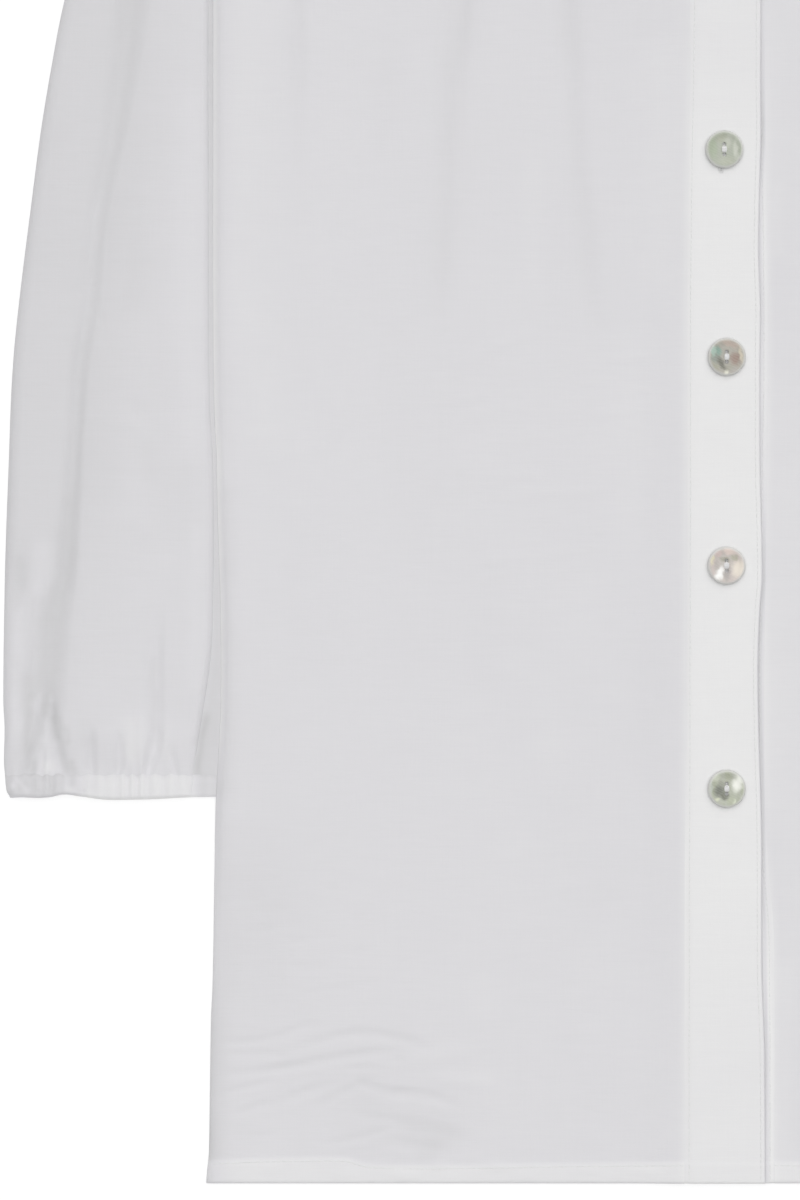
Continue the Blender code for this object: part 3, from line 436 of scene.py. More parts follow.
CUFF_STROKES = named(Stroke, {
    "right": (
        (323.5, 185, 316.4, 178.4, 1.6, 1.6, 6), (310.4, 182.5, 309.6, 180.5, 2.2, 2.2, 4.5),
        (299.6, 188, 300, 180, 1.9, 2.4, 8.5), (291, 184, 286, 180, 4, 4, -4),
        (301, 179.2, 296, 179.2, 2.2, 2.2, 12), (292.3, 180, 292, 178, 2, 2, -5),
        (318.6, 183, 317, 181, 2.2, 2.2, -4.5), (324.8, 182.4, 324.2, 180, 1.9, 1.9, 10),
        (307, 185, 307, 178, 1.4, 1.6, -3), (313.6, 185, 313, 178, 1.4, 1.2, -4),
        (326, 180, 324, 177, 1.6, 1.6, -4),
    ),
    "left": (
        (322, 185, 315.8, 178.4, 1.6, 1.6, 5.5), (309, 182.5, 308, 180.5, 2.2, 2.2, 4.5),
        (302.4, 182.5, 302, 180.5, 1.8, 1.8, 4), (305.6, 185, 305.4, 178, 1.2, 1.2, -4.5),
        (312.4, 185, 312, 178, 1.2, 1.2, -4),
    ),
})

# The hem lies unevenly: lifts of its turning, and the level of its upper edge, by reach
Pucker = namedtuple("Pucker", "reach height half_width half_height lift")
PUCKERS = named(Pucker, {
    "right": (
        (146, 3.5, 10, 3.6, 0.35), (131, 8, 8, 3, 0.3), (104, 7.6, 12, 3.2, 0.34),
        (91, 3, 7, 3, 0.22), (208, 6, 9, 3.6, 0.18), (172, 4.5, 11, 3.4, 0.16),
        (64, 5.5, 10, 3.6, 0.14), (36, 5, 9, 3.6, 0.16),
    ),
    "left": (
        (150, 4, 10, 3.6, 0.32), (118, 7.6, 12, 3.2, 0.32), (205, 6, 9, 3.6, 0.18),
        (178, 4.5, 11, 3.4, 0.16), (72, 5.5, 10, 3.6, 0.16), (44, 5, 9, 3.6, 0.14),
    ),
})
Turning = namedtuple("Turning", "reach height")
HEM_TOPS = named(Turning, (
    (0, 9.6), (20, 9.4), (45, 9), (84, 8.6), (110, 8), (148, 7.8), (162, 8.4), (175, 11.4),
    (200, 11.2), (226, 10.4), (240, 10),
))

# The lower edge of the elastic casing, by reach
CASING_ENDS = named(Turning, (
    (198, 175.9), (234, 175.9), (244, 175.8), (262, 174.9), (280, 174.6), (294, 176.2),
    (301, 177.1), (308.5, 175.8), (314, 175.5), (321, 175.8), (330, 175.3),
))

# Shell buttons. hole_side is where the buttonhole stands across the garment, and hole_start how far
# below the button's middle it begins.
BUTTON_RADIUS = 8.65
BUTTON_THICKNESS = 2.3
BUTTON_DISH = 0.9
BUTTON_HOLE = 1.9
BUTTON_HOLE_SPACING = 4.6
Button = namedtuple("Button", "height side turn hole_side hole_start ground flow")
BUTTONS = named(Button, (
    (565.4, 0, 22, -0.4, 7.4, (0.45, 0.474, 0.402), (0.4, 0.435, 0.355)),
    (471.1, -0.5, 0, -1.9, 9.3, (0.446, 0.47, 0.4), (0.392, 0.428, 0.345)),
    (376.6, 0.6, 0, -0.4, 7.4, (0.405, 0.392, 0.345), (0.45, 0.425, 0.365)),
    (281.5, 0.5, 0, -0.4, 7.4, (0.53, 0.5, 0.46), (0.6, 0.53, 0.5)),
    (179.9, 0.6, 0, -0.4, 7.4, (0.48, 0.495, 0.43), (0.42, 0.45, 0.345)),
))

# Clouds of colour in each button's shell, in millimetres from its centre. The palest cloud on each
# button, a light crescent near the rim or a near-white patch, is a painted highlight.
Cloud = namedtuple("Cloud", "x y across along turn colour share")
CLOUDS_AND_PAINTED_HIGHLIGHTS = named(Cloud, (
    (
        (-4.5, 2, 4, 5.5, 20, (0.4, 0.47, 0.33), 0.8), (5, -1, 1.8, 6, 5, (0.6, 0.62, 0.54), 0.7),
        (0.5, 6, 5, 2.4, 0, (0.45, 0.47, 0.38), 0.7),
    ),
    (
        (-5.2, 1, 2.6, 6, 10, (0.4, 0.46, 0.34), 0.8),
        (1.5, 3.6, 2.2, 4.8, -8, (0.55, 0.57, 0.49), 0.7),
        (5, 0.2, 1.7, 6.4, 4, (0.62, 0.64, 0.56), 0.8),
        (-1.4, 5.2, 3.4, 2.4, 30, (0.44, 0.46, 0.36), 0.7),
        (1, -5.2, 4.6, 2.6, 0, (0.47, 0.49, 0.4), 0.7),
    ),
    (
        (-5.4, -0.6, 2.8, 3, 0, (0.29, 0.32, 0.28), 0.9),
        (0.6, -4.8, 3, 2.4, 0, (0.38, 0.37, 0.31), 0.9),
        (-4, 2.7, 2.3, 2.9, 10, (0.23, 0.37, 0.31), 0.9),
        (-6.3, 2.8, 1.5, 3.2, 0, (0.4, 0.55, 0.47), 0.9),
        (3.9, -1, 3.2, 4, 10, (0.33, 0.24, 0.2), 0.95),
        (-2.4, -2.8, 2, 4.6, 28, (0.15, 0.15, 0.12), 0.9),
        (-5.2, -4.6, 2.4, 2.6, 25, (0.37, 0.37, 0.29), 0.9),
        (1.4, 6, 5.4, 2, -14, (0.54, 0.45, 0.39), 0.9),
        (6.3, 1.2, 1, 4.6, 8, (0.66, 0.6, 0.48), 0.9),
        (-0.4, -7.3, 1.9, 1.5, 20, (0.78, 0.77, 0.66), 0.95),
        (3, -6.2, 3, 1.6, 20, (0.42, 0.4, 0.37), 0.7),
    ),
    (
        (1.2, 6.6, 3.6, 2.2, -12, (0.78, 0.66, 0.6), 0.95),
        (-3.6, 5.4, 2.4, 1.8, 30, (0.64, 0.53, 0.5), 0.9),
        (-6.8, 2.8, 1.3, 3, -6, (0.74, 0.69, 0.5), 0.9),
        (5.2, -1.6, 3.6, 5.4, -12, (0.84, 0.77, 0.67), 0.95),
        (-3.2, -3.6, 2.3, 5, -28, (0.96, 0.96, 0.94), 1),
        (-0.8, 2.9, 3.2, 1.5, -16, (0.36, 0.35, 0.28), 0.85),
        (3.6, 3.6, 2.2, 1.8, -30, (0.45, 0.44, 0.34), 0.8),
        (0.4, -3.6, 1.9, 4.2, -8, (0.43, 0.4, 0.38), 0.9),
        (-4.6, 0.4, 1.5, 3, 0, (0.46, 0.43, 0.4), 0.7),
    ),
    (
        (4.8, 2.4, 3, 5.2, -8, (0.93, 0.94, 0.87), 1),
        (-5, 5, 2.8, 2, 40, (0.62, 0.65, 0.54), 0.9),
        (-3.2, -0.8, 3.4, 3.6, -30, (0.17, 0.18, 0.15), 0.95),
        (-0.9, -3.4, 2.6, 2.2, -30, (0.17, 0.18, 0.14), 0.9),
        (-2.2, 2.6, 2.2, 1.8, -20, (0.31, 0.32, 0.26), 0.8),
        (0.9, 5.2, 2.2, 2.8, 0, (0.4, 0.42, 0.32), 0.8),
        (-4.2, -4.9, 1.3, 1.3, 0, (0.66, 0.68, 0.52), 0.9),
        (3.4, -5.8, 1.2, 1.4, -20, (0.68, 0.72, 0.58), 0.9),
        (-7.2, 0.6, 1.2, 3.4, 0, (0.5, 0.54, 0.48), 0.8),
        (1.8, -5.4, 2.6, 1.6, 10, (0.46, 0.49, 0.37), 0.7),
    ),
))


# ---------------------------------------------------------------- shapes of the garment, as numbers


def smooth(share):
    """Ease from 0 to 1."""
    share = np.clip(share, 0.0, 1.0)
    return share * share * (3.0 - 2.0 * share)


def above(value, start, span):
    """0 up to start and 1 from a span beyond it, eased between."""
    return smooth((value - start) / span)


def below(value, start, span):
    """0 from start on and 1 from a span short of it, eased between."""
    return smooth((start - value) / span)


def bell(distance, width):
    """1 at no distance, dying out to both sides."""
    return np.exp(-(distance / width) ** 2)


def fading(distance, length):
    """1 at no distance, dying out beyond it."""
    return np.exp(-np.maximum(distance, 0.0) / length)


def mound(distance):
    """1 in the middle and 0 from a distance of 1 on."""
    return np.clip(1.0 - distance ** 2, 0.0, 1.0) ** 2


def read(table, name, at, knot="height"):
    """A column of a table at any knot value, on a smooth curve that never overshoots the rows."""
    rows = sorted(table, key=lambda row: getattr(row, knot))
    knots = np.array([getattr(row, knot) for row in rows], float)
    values = np.array([getattr(row, name) for row in rows], float)
    rises = np.diff(values) / np.diff(knots)
    product = rises[1:] * rises[:-1]
    total = np.where(product > 0, rises[1:] + rises[:-1], 1.0)
    slopes = np.zeros_like(values)
    slopes[1:-1] = np.where(product > 0, 2.0 * product / total, 0.0)
    at = np.asarray(at, float)
    k = np.clip(np.searchsorted(knots, at, side="right") - 1, 0, len(knots) - 2)
    span = knots[k + 1] - knots[k]
    t = np.clip((at - knots[k]) / span, 0.0, 1.0)
    ahead = smooth(t)
    return ((1 - ahead) * values[k] + ahead * values[k + 1]
            + t * (1 - t) ** 2 * span * slopes[k] - t * t * (1 - t) * span * slopes[k + 1])


def along_line(line, reach, height):
    """How far points are along a crease or stroke and to its side, and its length."""
    across, upward = line.end_reach - line.start_reach, line.end_height - line.start_height
    length = math.hypot(across, upward)
    x, y = reach - line.start_reach, height - line.start_height
    return (x * across + y * upward) / length, (y * across - x * upward) / length, length


def crease_drop(creases, reach, height):
    """How far the cloth drops into its creases: soft troughs and ridges that fade at their ends."""
    drop = np.zeros(np.broadcast(reach, height).shape)
    for crease in creases:
        travel, offset, length = along_line(crease, reach, height)
        share = travel / length
        bow = crease.bow if crease.end_reach > crease.start_reach else -crease.bow
        offset = offset - bow * 4.0 * share * (1.0 - share)
        ease = 0.45 * length
        starts = smooth((travel + ease) / (1.6 * ease))
        ends = smooth((length + ease - travel) / (1.6 * ease))
        drop = drop + crease.depth * mound(offset / crease.half_width) * (starts * ends)
    return drop


def ripple(reach, height, pitch, seed):
    """A gentle unevenness from -1 to 1, the same each time."""
    sway = 0.37 * np.sin(height / (1.7 * pitch) + seed)
    heave = 0.41 * np.sin(reach / (1.3 * pitch) + 2.0 * seed)
    across = np.sin(2 * math.pi * (reach / pitch + sway))
    upward = np.sin(2 * math.pi * (height / (1.31 * pitch) + heave))
    return 0.5 * (across * np.cos(1.9 * seed + height / (2.3 * pitch)) + upward)


def strayed(reach, height, coarse, fine):
    """Reach with an unsteadiness of so many millimetres, so that no edge of a tone runs straight."""
    return reach + coarse * ripple(reach, height, 29.0, 2.1) + fine * ripple(reach, height, 11.0, 0.2)


def whiteness(strokes, reach, height):
    """Painted light and shade from soft strokes: how much whiter the cloth is coloured than plain
    single cloth, darker where negative.
    """
    total = np.zeros(np.broadcast(reach, height).shape)
    unsteady = strayed(reach, height, 1.1, 0.5)
    for stroke in strokes:
        travel, offset, length = along_line(stroke, unsteady, height)
        share = np.clip(travel / length, 0.0, 1.0)
        away = offset / (stroke.start_width + share * (stroke.end_width - stroke.start_width))
        ease = 0.8 * (stroke.start_width + stroke.end_width)
        ends = smooth(travel / ease + 0.5) * smooth((length - travel) / ease + 0.5)
        total = total + stroke.amount * ends * np.exp(-1.6 * away * away)
    return total


def fold_depth(fold, reach, height):
    """Depth of a long fold that wanders down the garment."""
    offset = (reach - read(fold, "reach", height)) / read(fold, "half_width", height)
    return read(fold, "depth", height) * mound(offset)


def fold_painted_shade(fold, reach, height, shoulder_width):
    """Painted shade of a long fold, most at its bottom and less on its shoulder."""
    inward = read(fold, "reach", height) - strayed(reach, height, 0.9, 0.4)
    dim = read(fold, "dim", height) * np.exp(-1.6 * (inward / read(fold, "half_width", height)) ** 2)
    shoulder = smooth(inward / 6.0 + 0.3) * bell(np.maximum(inward, 0.0), shoulder_width)
    return dim + read(fold, "shoulder", height) * shoulder


def rolled(distance, radius):
    """A quarter of an ellipse: 0 at a folded edge and 1 from the radius inwards."""
    return np.sqrt(1.0 - (1.0 - np.clip(distance / radius, 0.0, 1.0)) ** 2)


def body_edge(height):
    return read(BODY_EDGE, "reach", height)


def shoulder_line(reach):
    slope = (NECK_POINT - SHOULDER_POINT) / (SHOULDER_REACH - NECK_REACH)
    return NECK_POINT - (reach - NECK_REACH) * slope


def front_neckline(reach):
    """A quarter of an ellipse from the neck point down to the centre front."""
    drop = NECK_POINT - FRONT_NECK
    return NECK_POINT - drop * np.sqrt(np.clip(1.0 - (reach / NECK_REACH) ** 2, 0.0, 1.0))


def back_neckline(reach):
    rise = NECK_POINT - BACK_INSET - BACK_NECK
    return BACK_NECK + rise * (reach / NECK_REACH) ** 2


def tuck_lift(reach, height):
    """How far the body is raised over the sleeve that lies under its side."""
    across = above(reach, TUCK_RAMP_FOOT, TUCK_RAMP_HEAD - TUCK_RAMP_FOOT)
    return TUCK_LIFT * across * above(height, TUCK_END_FOOT, TUCK_END_HEAD - TUCK_END_FOOT)


def lap_lift(x):
    """How far the right front and its bands are raised to lap over the left."""
    return LAP_LIFT * above(x, LAP_RAMP_FOOT, LAP_RAMP_HEAD - LAP_RAMP_FOOT)


def front_seam(side, height):
    """Reach of the seam between a front and its band."""
    return -read(LAPS, "seam", height) if side == "right" else read(LAPS, "under_edge", height)


def hem_top(reach):
    return read(HEM_TOPS, "height", reach, "reach")


def hem_lift(side, reach, height):
    """The turned hem is thicker than the front above it, and puckers between its stitches."""
    top = hem_top(reach)
    step = HEM_STEP * smooth((top + 0.7 - height) / 1.4)
    for pucker in PUCKERS[side]:
        away = ((reach - pucker.reach) / pucker.half_width) ** 2
        away = away + ((height - pucker.height) / pucker.half_height) ** 2
        step = step + pucker.lift * np.clip(1.0 - away, 0.0, 1.0) ** 2
    return step - STITCH_DENT * bell(height - top + HEM_STITCH_INSET, 0.55)


def hem_edge(height):
    """The fold at the very edge of the hem, rounded by the turned cloth inside."""
    return height - 0.45 * np.exp(-height / 1.4)


def front_level(side, reach, height, gathered=0.0):
    """Level of a front's upper surface."""
    seam = front_seam(side, height)
    from_edge = body_edge(height) - reach
    from_shoulder = shoulder_line(reach) - height
    calm = above(from_edge, 1.0, CALM_MARGIN) * above(reach, seam, CALM_AT_BAND)
    calm = calm * smooth(from_shoulder / CALM_MARGIN)
    puff = FRONT_PUFF * above(height, PUFF_FOOT, PUFF_RISE) * calm
    creased = CREASE_SHARE * crease_drop(FRONT_CREASES[side], reach, height)
    for fold in FRONT_FOLDS[side]:
        creased = creased + fold_depth(fold, reach, height)
    creased = creased * above(from_edge, 1.5, CREASE_MARGIN) * above(reach, seam, CREASE_AT_BAND)
    uneven = 0.05 * ripple(reach, height, 61.0, 0.7) + 0.018 * ripple(reach, height, 17.0, 2.9)
    top = FRONT_TOP + puff + gathered - creased + uneven * calm + hem_lift(side, reach, height)

    # the rim is rounder and thinner where it lies over the sleeve
    lift = tuck_lift(reach, height)
    rim = RIM_LEVEL - RIM_DROP * lift / TUCK_LIFT
    eased = RIM_EASE * lift / TUCK_LIFT
    turn = (1.0 - eased) * rolled(from_edge, RIM_ROLL) + eased * smooth(from_edge / RIM_ROLL)
    roll = (rim + (1.0 - rim) * turn) * rolled(from_shoulder, RIM_ROLL)
    hem_roll = 0.45 + 0.55 * rolled(height, HEM_ROLL)
    if side == "right":
        lift = lift + lap_lift(-reach)
    return np.maximum(lift + top * roll * hem_roll, CLOTH + FLOOR_GAP)


def past_valley(reach, height):
    """Distance outward from the foot of the sleeve's fold beside the body."""
    return reach - body_edge(height) - read(VALLEYS, "width", height) + VALLEY_FOOT


def sleeve_rise(reach, height):
    """The sleeve's fold beside the body stands up from its foot like a roll."""
    foot = past_valley(reach, height)
    stand = 0.45 * rolled(foot, 3.0) + 0.55 * smooth((foot + 0.8) / 3.6)
    return 0.75 * stand + 0.25 * smooth(foot / 11.0)


def in_valley(reach, height):
    """1 in the hollow between body and sleeve, 0 on the sleeve."""
    return 1.0 - smooth((past_valley(reach, height) + 0.6) / 2.0)


def cuff_wave(reach):
    """The gathers that the elastic draws, from -1 to 1, no two the same."""
    phase = reach / CUFF_PITCH + 0.23 * np.sin(reach / 7.3) + 0.11 * np.sin(reach / 3.1 + 1.0)
    return np.cos(2 * math.pi * phase) * (0.8 + 0.3 * np.sin(reach / 5.9 + 0.6))


def sleeve_relief(side, reach, height):
    """How far the sleeve's upper side stands above its flat level."""
    puff = CUFF_PUFF + (SLEEVE_PUFF - CUFF_PUFF) * above(height, CASING_TOP, 20.0)
    creased = crease_drop(SLEEVE_CREASES[side], reach, height)
    creased = creased + fold_depth(SLEEVE_FOLDS[side], reach, height)
    length = 7.0 + 9.0 * (0.5 + 0.5 * np.sin(reach / 4.1 + 0.8))
    gathers = CUFF_WAVE * cuff_wave(reach) * (1.0 - above(height, CASING_TOP, length))
    uneven = 0.06 * ripple(reach, height, 37.0, 1.3) + 0.03 * ripple(reach, height, 13.0, 0.4)
    relief = np.maximum(puff + gathers + uneven - creased, LEAST_PUFF)
    return relief * sleeve_rise(reach, height) * below(height, SLEEVE_HEAD, 30.0)


def cuff_relief(reach, height):
    """The casing's waves run from its upper edge to its end, pressed flat under the body."""
    return sleeve_rise(reach, height) * (CUFF_PUFF + CUFF_WAVE * cuff_wave(reach))


# ------------------------------------------------------------------------------- meshes of cloth


def added(name, data):
    """A new object in the scene."""
    made = bpy.data.objects.new(name, data)
    bpy.context.scene.collection.objects.link(made)
    return made


def mesh_of(name, points, edges=(), faces=()):
    """An object with these points, in millimetres on the garment, and these edges or faces."""
    placed = np.array(points, float).reshape(-1, 3)
    placed[:, 1] -= HALF_LENGTH
    data = bpy.data.meshes.new(name)
    data.from_pydata((placed * MM).tolist(), edges, faces)
    data.update()
    return added(name, data)


def grid_quads(rows, columns, around=False):
    """Faces of a grid, wound to point up when its rows run up the garment and its columns to +X."""
    row, column = np.meshgrid(np.arange(rows - 1), np.arange(columns if around else columns - 1),
                              indexing="ij")
    beside = (column + 1) % columns
    corners = [row * columns + column, row * columns + beside,
               (row + 1) * columns + beside, (row + 1) * columns + column]
    return np.stack(corners, axis=-1).reshape(-1, 4)


def made_plain(piece):
    """Replace an object's mesh by what its modifiers make of it."""
    graph = bpy.context.evaluated_depsgraph_get()
    done = bpy.data.meshes.new_from_object(piece.evaluated_get(graph))
    done.name = piece.name
    piece.modifiers.clear()
    piece.data = done


def finished(piece, material, sharp_angle=None):
    """Smooth a mesh, but for edges sharper than an angle in degrees, and give it its material."""
    piece.data.shade_smooth()
    if sharp_angle:
        piece.data.set_sharp_from_angle(angle=math.radians(sharp_angle))
    piece.data.materials.clear()
    piece.data.materials.append(material)
    return piece


def cloth_of(name, points, quads, white, material):
    """A piece of cloth: its upper surface, how white each point is coloured, with doubled layers and
    painted light and shade together, and a wall inwards.
    """
    piece = mesh_of(name, points, faces=quads.tolist())
    layer = piece.data.attributes.new("whiteness", "FLOAT", "POINT")
    layer.data.foreach_set("value", np.broadcast_to(white, points.shape[:2]).flatten())
    wall = piece.modifiers.new("wall", "SOLIDIFY")
    wall.thickness = CLOTH * MM
    wall.offset = -1.0
    wall.use_even_offset = False
    wall.use_rim = True
    made_plain(piece)
    return finished(piece, material, CLOTH_SHARP_ANGLE)


def laid_sheet(name, x, height, level, material, white):
    """A piece of cloth from a grid whose rows run down the garment."""
    order = 1 if x[0, -1] > x[0, 0] else -1
    points = np.stack([x, height, level], axis=-1)[::-1, ::order]
    white = np.broadcast_to(white, x.shape)[::-1, ::order]
    return cloth_of(name, points, grid_quads(*x.shape), white, material)


def steps(*spans):
    """Values from spans of (start, end, step), each end left to the next span."""
    parts = []
    for start, end, step in spans:
        count = max(1, round(abs(end - start) / step))
        parts.append(np.linspace(start, end, count, endpoint=False))
    return np.concatenate(parts + [[spans[-1][1]]])


EDGE_STEPS = np.array((0.0, 0.02, 0.08, 0.18, 0.32, 0.5, 0.72, 1.0))
ROLL_STEPS = np.array((1.0, 0.84, 0.68, 0.53, 0.4, 0.28, 0.18, 0.1, 0.04, 0.01, 0.0))


def followed_top(levels):
    """How much the rows at these levels take up the shape of the upper edge."""
    return smooth((levels - 300.0) / 234.0)


def body_plan(tops, top_heights, levels, seam_at):
    """Reach, height and depth below the top edge for columns that fan out from the neck and rows
    that follow the top edge and then run level."""
    height = levels[:, None] + followed_top(levels)[:, None] * (top_heights[None, :] - TOP_ROW)
    depth = top_heights[None, :] - height
    seam_at_neck = seam_at(NECK_POINT)
    outward = 1.0 - above(tops, NECK_REACH, SHOULDER_REACH - NECK_REACH)
    inward = above(tops, seam_at_neck, NECK_REACH - seam_at_neck)
    shift = FAN * np.where(tops > NECK_REACH, outward, inward) * smooth(depth / FAN_DEPTH)
    seam = seam_at(height)
    across = (tops + shift - seam_at_neck) / (SHOULDER_REACH - seam_at_neck)
    return seam + (body_edge(height) - seam) * across, height, depth


def gathers_along(share, count, depth, length):
    """Gathers drawn up at a neckline: narrow at the seam and dying out at uneven depths."""
    index = np.floor(np.clip(share, 0.0, 0.9999) * count)
    wave = 0.5 - 0.5 * np.cos(2 * math.pi * count * share)
    reach_down = length * (1.0 + 0.40 * np.sin(2.4 * index + 0.6))
    height = 0.85 + 0.25 * np.sin(4.1 * index)
    fade = 1.0 - smooth(depth / reach_down)
    return wave * height * fade * smooth(depth / 2.0 + 0.25)


def front_tone(side, reach, height):
    """How white a front is coloured: whiter where doubled, with painted light and shade along its
    strokes, folds and creases, then at its edges.
    """
    inward = body_edge(height) - reach
    from_seam = reach - front_seam(side, height)
    hem = smooth((hem_top(reach) + 1.0 - height) / 2.0)
    over_sleeve = above(height, 180.0, 6.0)

    white = whiteness(FRONT_STROKES[side], reach, height)
    for fold in FRONT_FOLDS[side]:
        white = white + fold_painted_shade(fold, reach, height, FRONT_SHOULDER_WIDTH)
    # painted shade in the creases' troughs and painted light on their ridges
    white = white - CREASE_PAINTED_SHADE * crease_drop(FRONT_CREASES[side], reach, height)

    # the side: painted light on its rolled edge over the sleeve, painted shade on that edge high up
    # and in its lower corner
    rim_painted_light_and_shade = EDGE_LIGHT * below(height, 500.0, 110.0) - EDGE_SHADE
    white = white + ROLL_LIGHT * over_sleeve * bell(inward - 1.6, 1.2)
    white = white + rim_painted_light_and_shade * over_sleeve * bell(inward, 0.5)
    white = white - CORNER_SHADE * fading(inward, 3.0) * below(height, 36.0, 16.0)

    # the turned hem, whiter for being doubled, with painted light at its folded edge
    white = (white + HEM_EDGE_LIGHT * bell(height, 0.8)) * (1.0 - hem)
    white = white + hem * (HEM_LIGHT + ripple(reach, height, 23.0, 1.1))

    # painted shade on the rim all along the side and more of it low down, painted light on the turned
    # edge higher up, and the seam of the band lighter
    white = white - SIDE_SHADE * (1.0 - above(inward, 1.0, 11.0))
    white = white + SEAM_LIGHT * (1.0 - smooth(from_seam / 2.8)) * below(height, 540.0, 60.0)
    white = white - LOW_SIDE_SHADE * fading(inward, 5.5) * below(height, 115.0, 60.0)
    white = white + TURNED_LIGHT * bell(inward, 1.3) * above(height, 186.0, 20.0)
    if side == "right":
        return white + 1.7 * fading(from_seam, 5.0) * (1.0 - hem)

    # the left front beside the bands, lighter at the middle and above, with painted light and shade
    # beside the seam and the band's shadow painted on
    white = white + 2.2 * below(height, 410.0, 90.0) - 1.4 * below(height, 100.0, 40.0)
    white = white + 1.2 * above(height, 440.0, 50.0)
    white = white + read(BAND_TONES, "beside", height) * fading(from_seam, 9.0)
    beyond_band = reach - read(LAPS, "edge", height)
    return white - 0.5 * read(BAND_TONES, "under", height) * bell(beyond_band - 0.8, 1.1)


def front(side, sign, material):
    """One front: gathered to the neckband, nearly smooth below, its hem turned up."""
    def seam_at(height):
        return front_seam(side, height)

    edge = EDGE_STEPS * RIM_ROLL
    angle = np.linspace(0.0, math.pi / 2, 800)
    curve = NECK_REACH * np.cos(angle)
    lengths = np.hypot(np.diff(curve), np.diff(front_neckline(curve)))
    run = np.concatenate([[0.0], np.cumsum(lengths)])
    end = np.interp(-seam_at(NECK_POINT), -curve, run)
    count = COLUMNS_TO_A_GATHER * FRONT_GATHERS
    share = np.arange(1, count + 1) / count
    neck = np.interp(share * end, run, curve)
    outer = steps((SHOULDER_REACH - RIM_ROLL, NECK_REACH, 2.1))[1:]
    tops = np.concatenate([SHOULDER_REACH - edge, outer, neck])
    top_heights = np.where(tops < NECK_REACH, front_neckline(tops), shoulder_line(tops))

    upper = steps((TOP_ROW - RIM_ROLL, 524.0, 2.4), (524.0, 400.0, 3.6), (400.0, 250.0, 2.4),
                  (250.0, 150.0, 3.6), (150.0, 90.0, 1.9), (90.0, 13.0, 1.25), (13.0, HEM_ROLL, 0.9))
    levels = np.concatenate([TOP_ROW - edge, upper[1:], HEM_ROLL * EDGE_STEPS[-2::-1]])
    reach, height, depth = body_plan(tops, top_heights, levels, seam_at)

    along = np.concatenate([np.zeros(len(tops) - len(share)), share])[None, :]
    gathered = GATHER_DEPTH * gathers_along(along, FRONT_GATHERS, depth, GATHER_LENGTH)
    level = front_level(side, reach, height, gathered)
    white = front_tone(side, reach, height)
    return laid_sheet("front_cloth_" + side, sign * reach, hem_edge(height), level, material, white)


def back(material):
    """The back, whole: gathered behind the neck, its rims folded inside those of the fronts."""
    side_reach = SHOULDER_REACH - BACK_INSET
    edge = np.append(EDGE_STEPS[::2], 1.0) * BACK_ROLL
    outer = steps((side_reach - BACK_ROLL, NECK_REACH, 4.2))[1:-1]
    side = np.concatenate([side_reach - edge, outer])
    count = COLUMNS_TO_A_GATHER * BACK_GATHERS
    share = np.arange(0, count + 1) / count
    x_top = np.concatenate([-side, NECK_REACH * (2.0 * share - 1.0), side[::-1]])
    tops = np.abs(x_top)
    top_heights = np.where(tops < NECK_REACH, back_neckline(tops), shoulder_line(tops) - BACK_INSET)
    levels = steps((TOP_ROW, TOP_ROW - BACK_ROLL, 0.4), (TOP_ROW - BACK_ROLL, 530.0, 2.4),
                   (530.0, 150.0, 6.0), (150.0, 60.0, 4.0), (60.0, 12.0, 3.0), (12.0, 1.0, 1.1),
                   (1.0, 0.0, 0.25))
    reach, height, depth = body_plan(tops, top_heights, levels, np.zeros_like)
    x = np.sign(x_top) * reach

    # its gathers lie in the neck's opening, and die out under the front
    share = np.concatenate([np.zeros(len(side)), share, np.zeros(len(side))])[None, :]
    opening = NECKBAND_WIDTH + 3.0
    hole = np.hypot(x / (NECK_REACH - opening),
                    (NECK_POINT - height) / (NECK_POINT - FRONT_NECK - opening))
    seen = smooth((1.0 - hole) / 0.15)
    gathered = 0.9 * gathers_along(share, BACK_GATHERS, depth, GATHER_LENGTH) * seen
    hem = BACK_HEM_STEP * smooth((HEM_TURNING + 0.6 - height) / 1.2)
    creased = np.maximum(-0.3, crease_drop(BACK_CREASES, x, height))
    top = BACK_TOP + gathered + hem - 0.5 * creased
    from_edge = body_edge(height) - BACK_INSET - reach
    from_shoulder = shoulder_line(reach) - BACK_INSET - height
    roll = 0.45 * rolled(from_edge, BACK_ROLL) * rolled(from_shoulder, BACK_ROLL)
    level = tuck_lift(reach, height) + top * (0.55 + roll * rolled(height, 1.0))
    return laid_sheet("back_cloth", x, height, level, material, 20.0 * hem - 2.0)


def band_tone(side, x, height, from_seam, from_free):
    """How white a front band is coloured: doubled, with painted shade at its own fold, and on the
    band under, a painted shadow of the upper band's fold.
    """
    white = BAND_LIGHT * smooth((from_seam + read(BAND_TONES, "seam", height)) / 4.6)
    white = white - 3.6 * below(height, 150.0, 110.0) - 4.2 * above(height, 460.0, 60.0)
    # painted light at the band's folded lower end
    white = white + BAND_END_LIGHT * bell(height, 0.8)
    if side == "right":
        return white - read(BAND_TONES, "fold", height) * bell(from_free, 0.6)
    beyond_band = x - read(LAPS, "edge", height)
    white = white - read(BAND_TONES, "under", height) * bell(beyond_band - 0.8, 1.0)
    # painted light low down and painted shade about 137 mm up, on the under band beside the upper
    # band's edge
    white = white + 4.5 * (1.0 - above(height, 90.0, 30.0)) * bell(beyond_band - 3.0, 1.1)
    return white - 6.0 * bell(height - 137.0, 24.0) * bell(beyond_band - 3.4, 1.6)


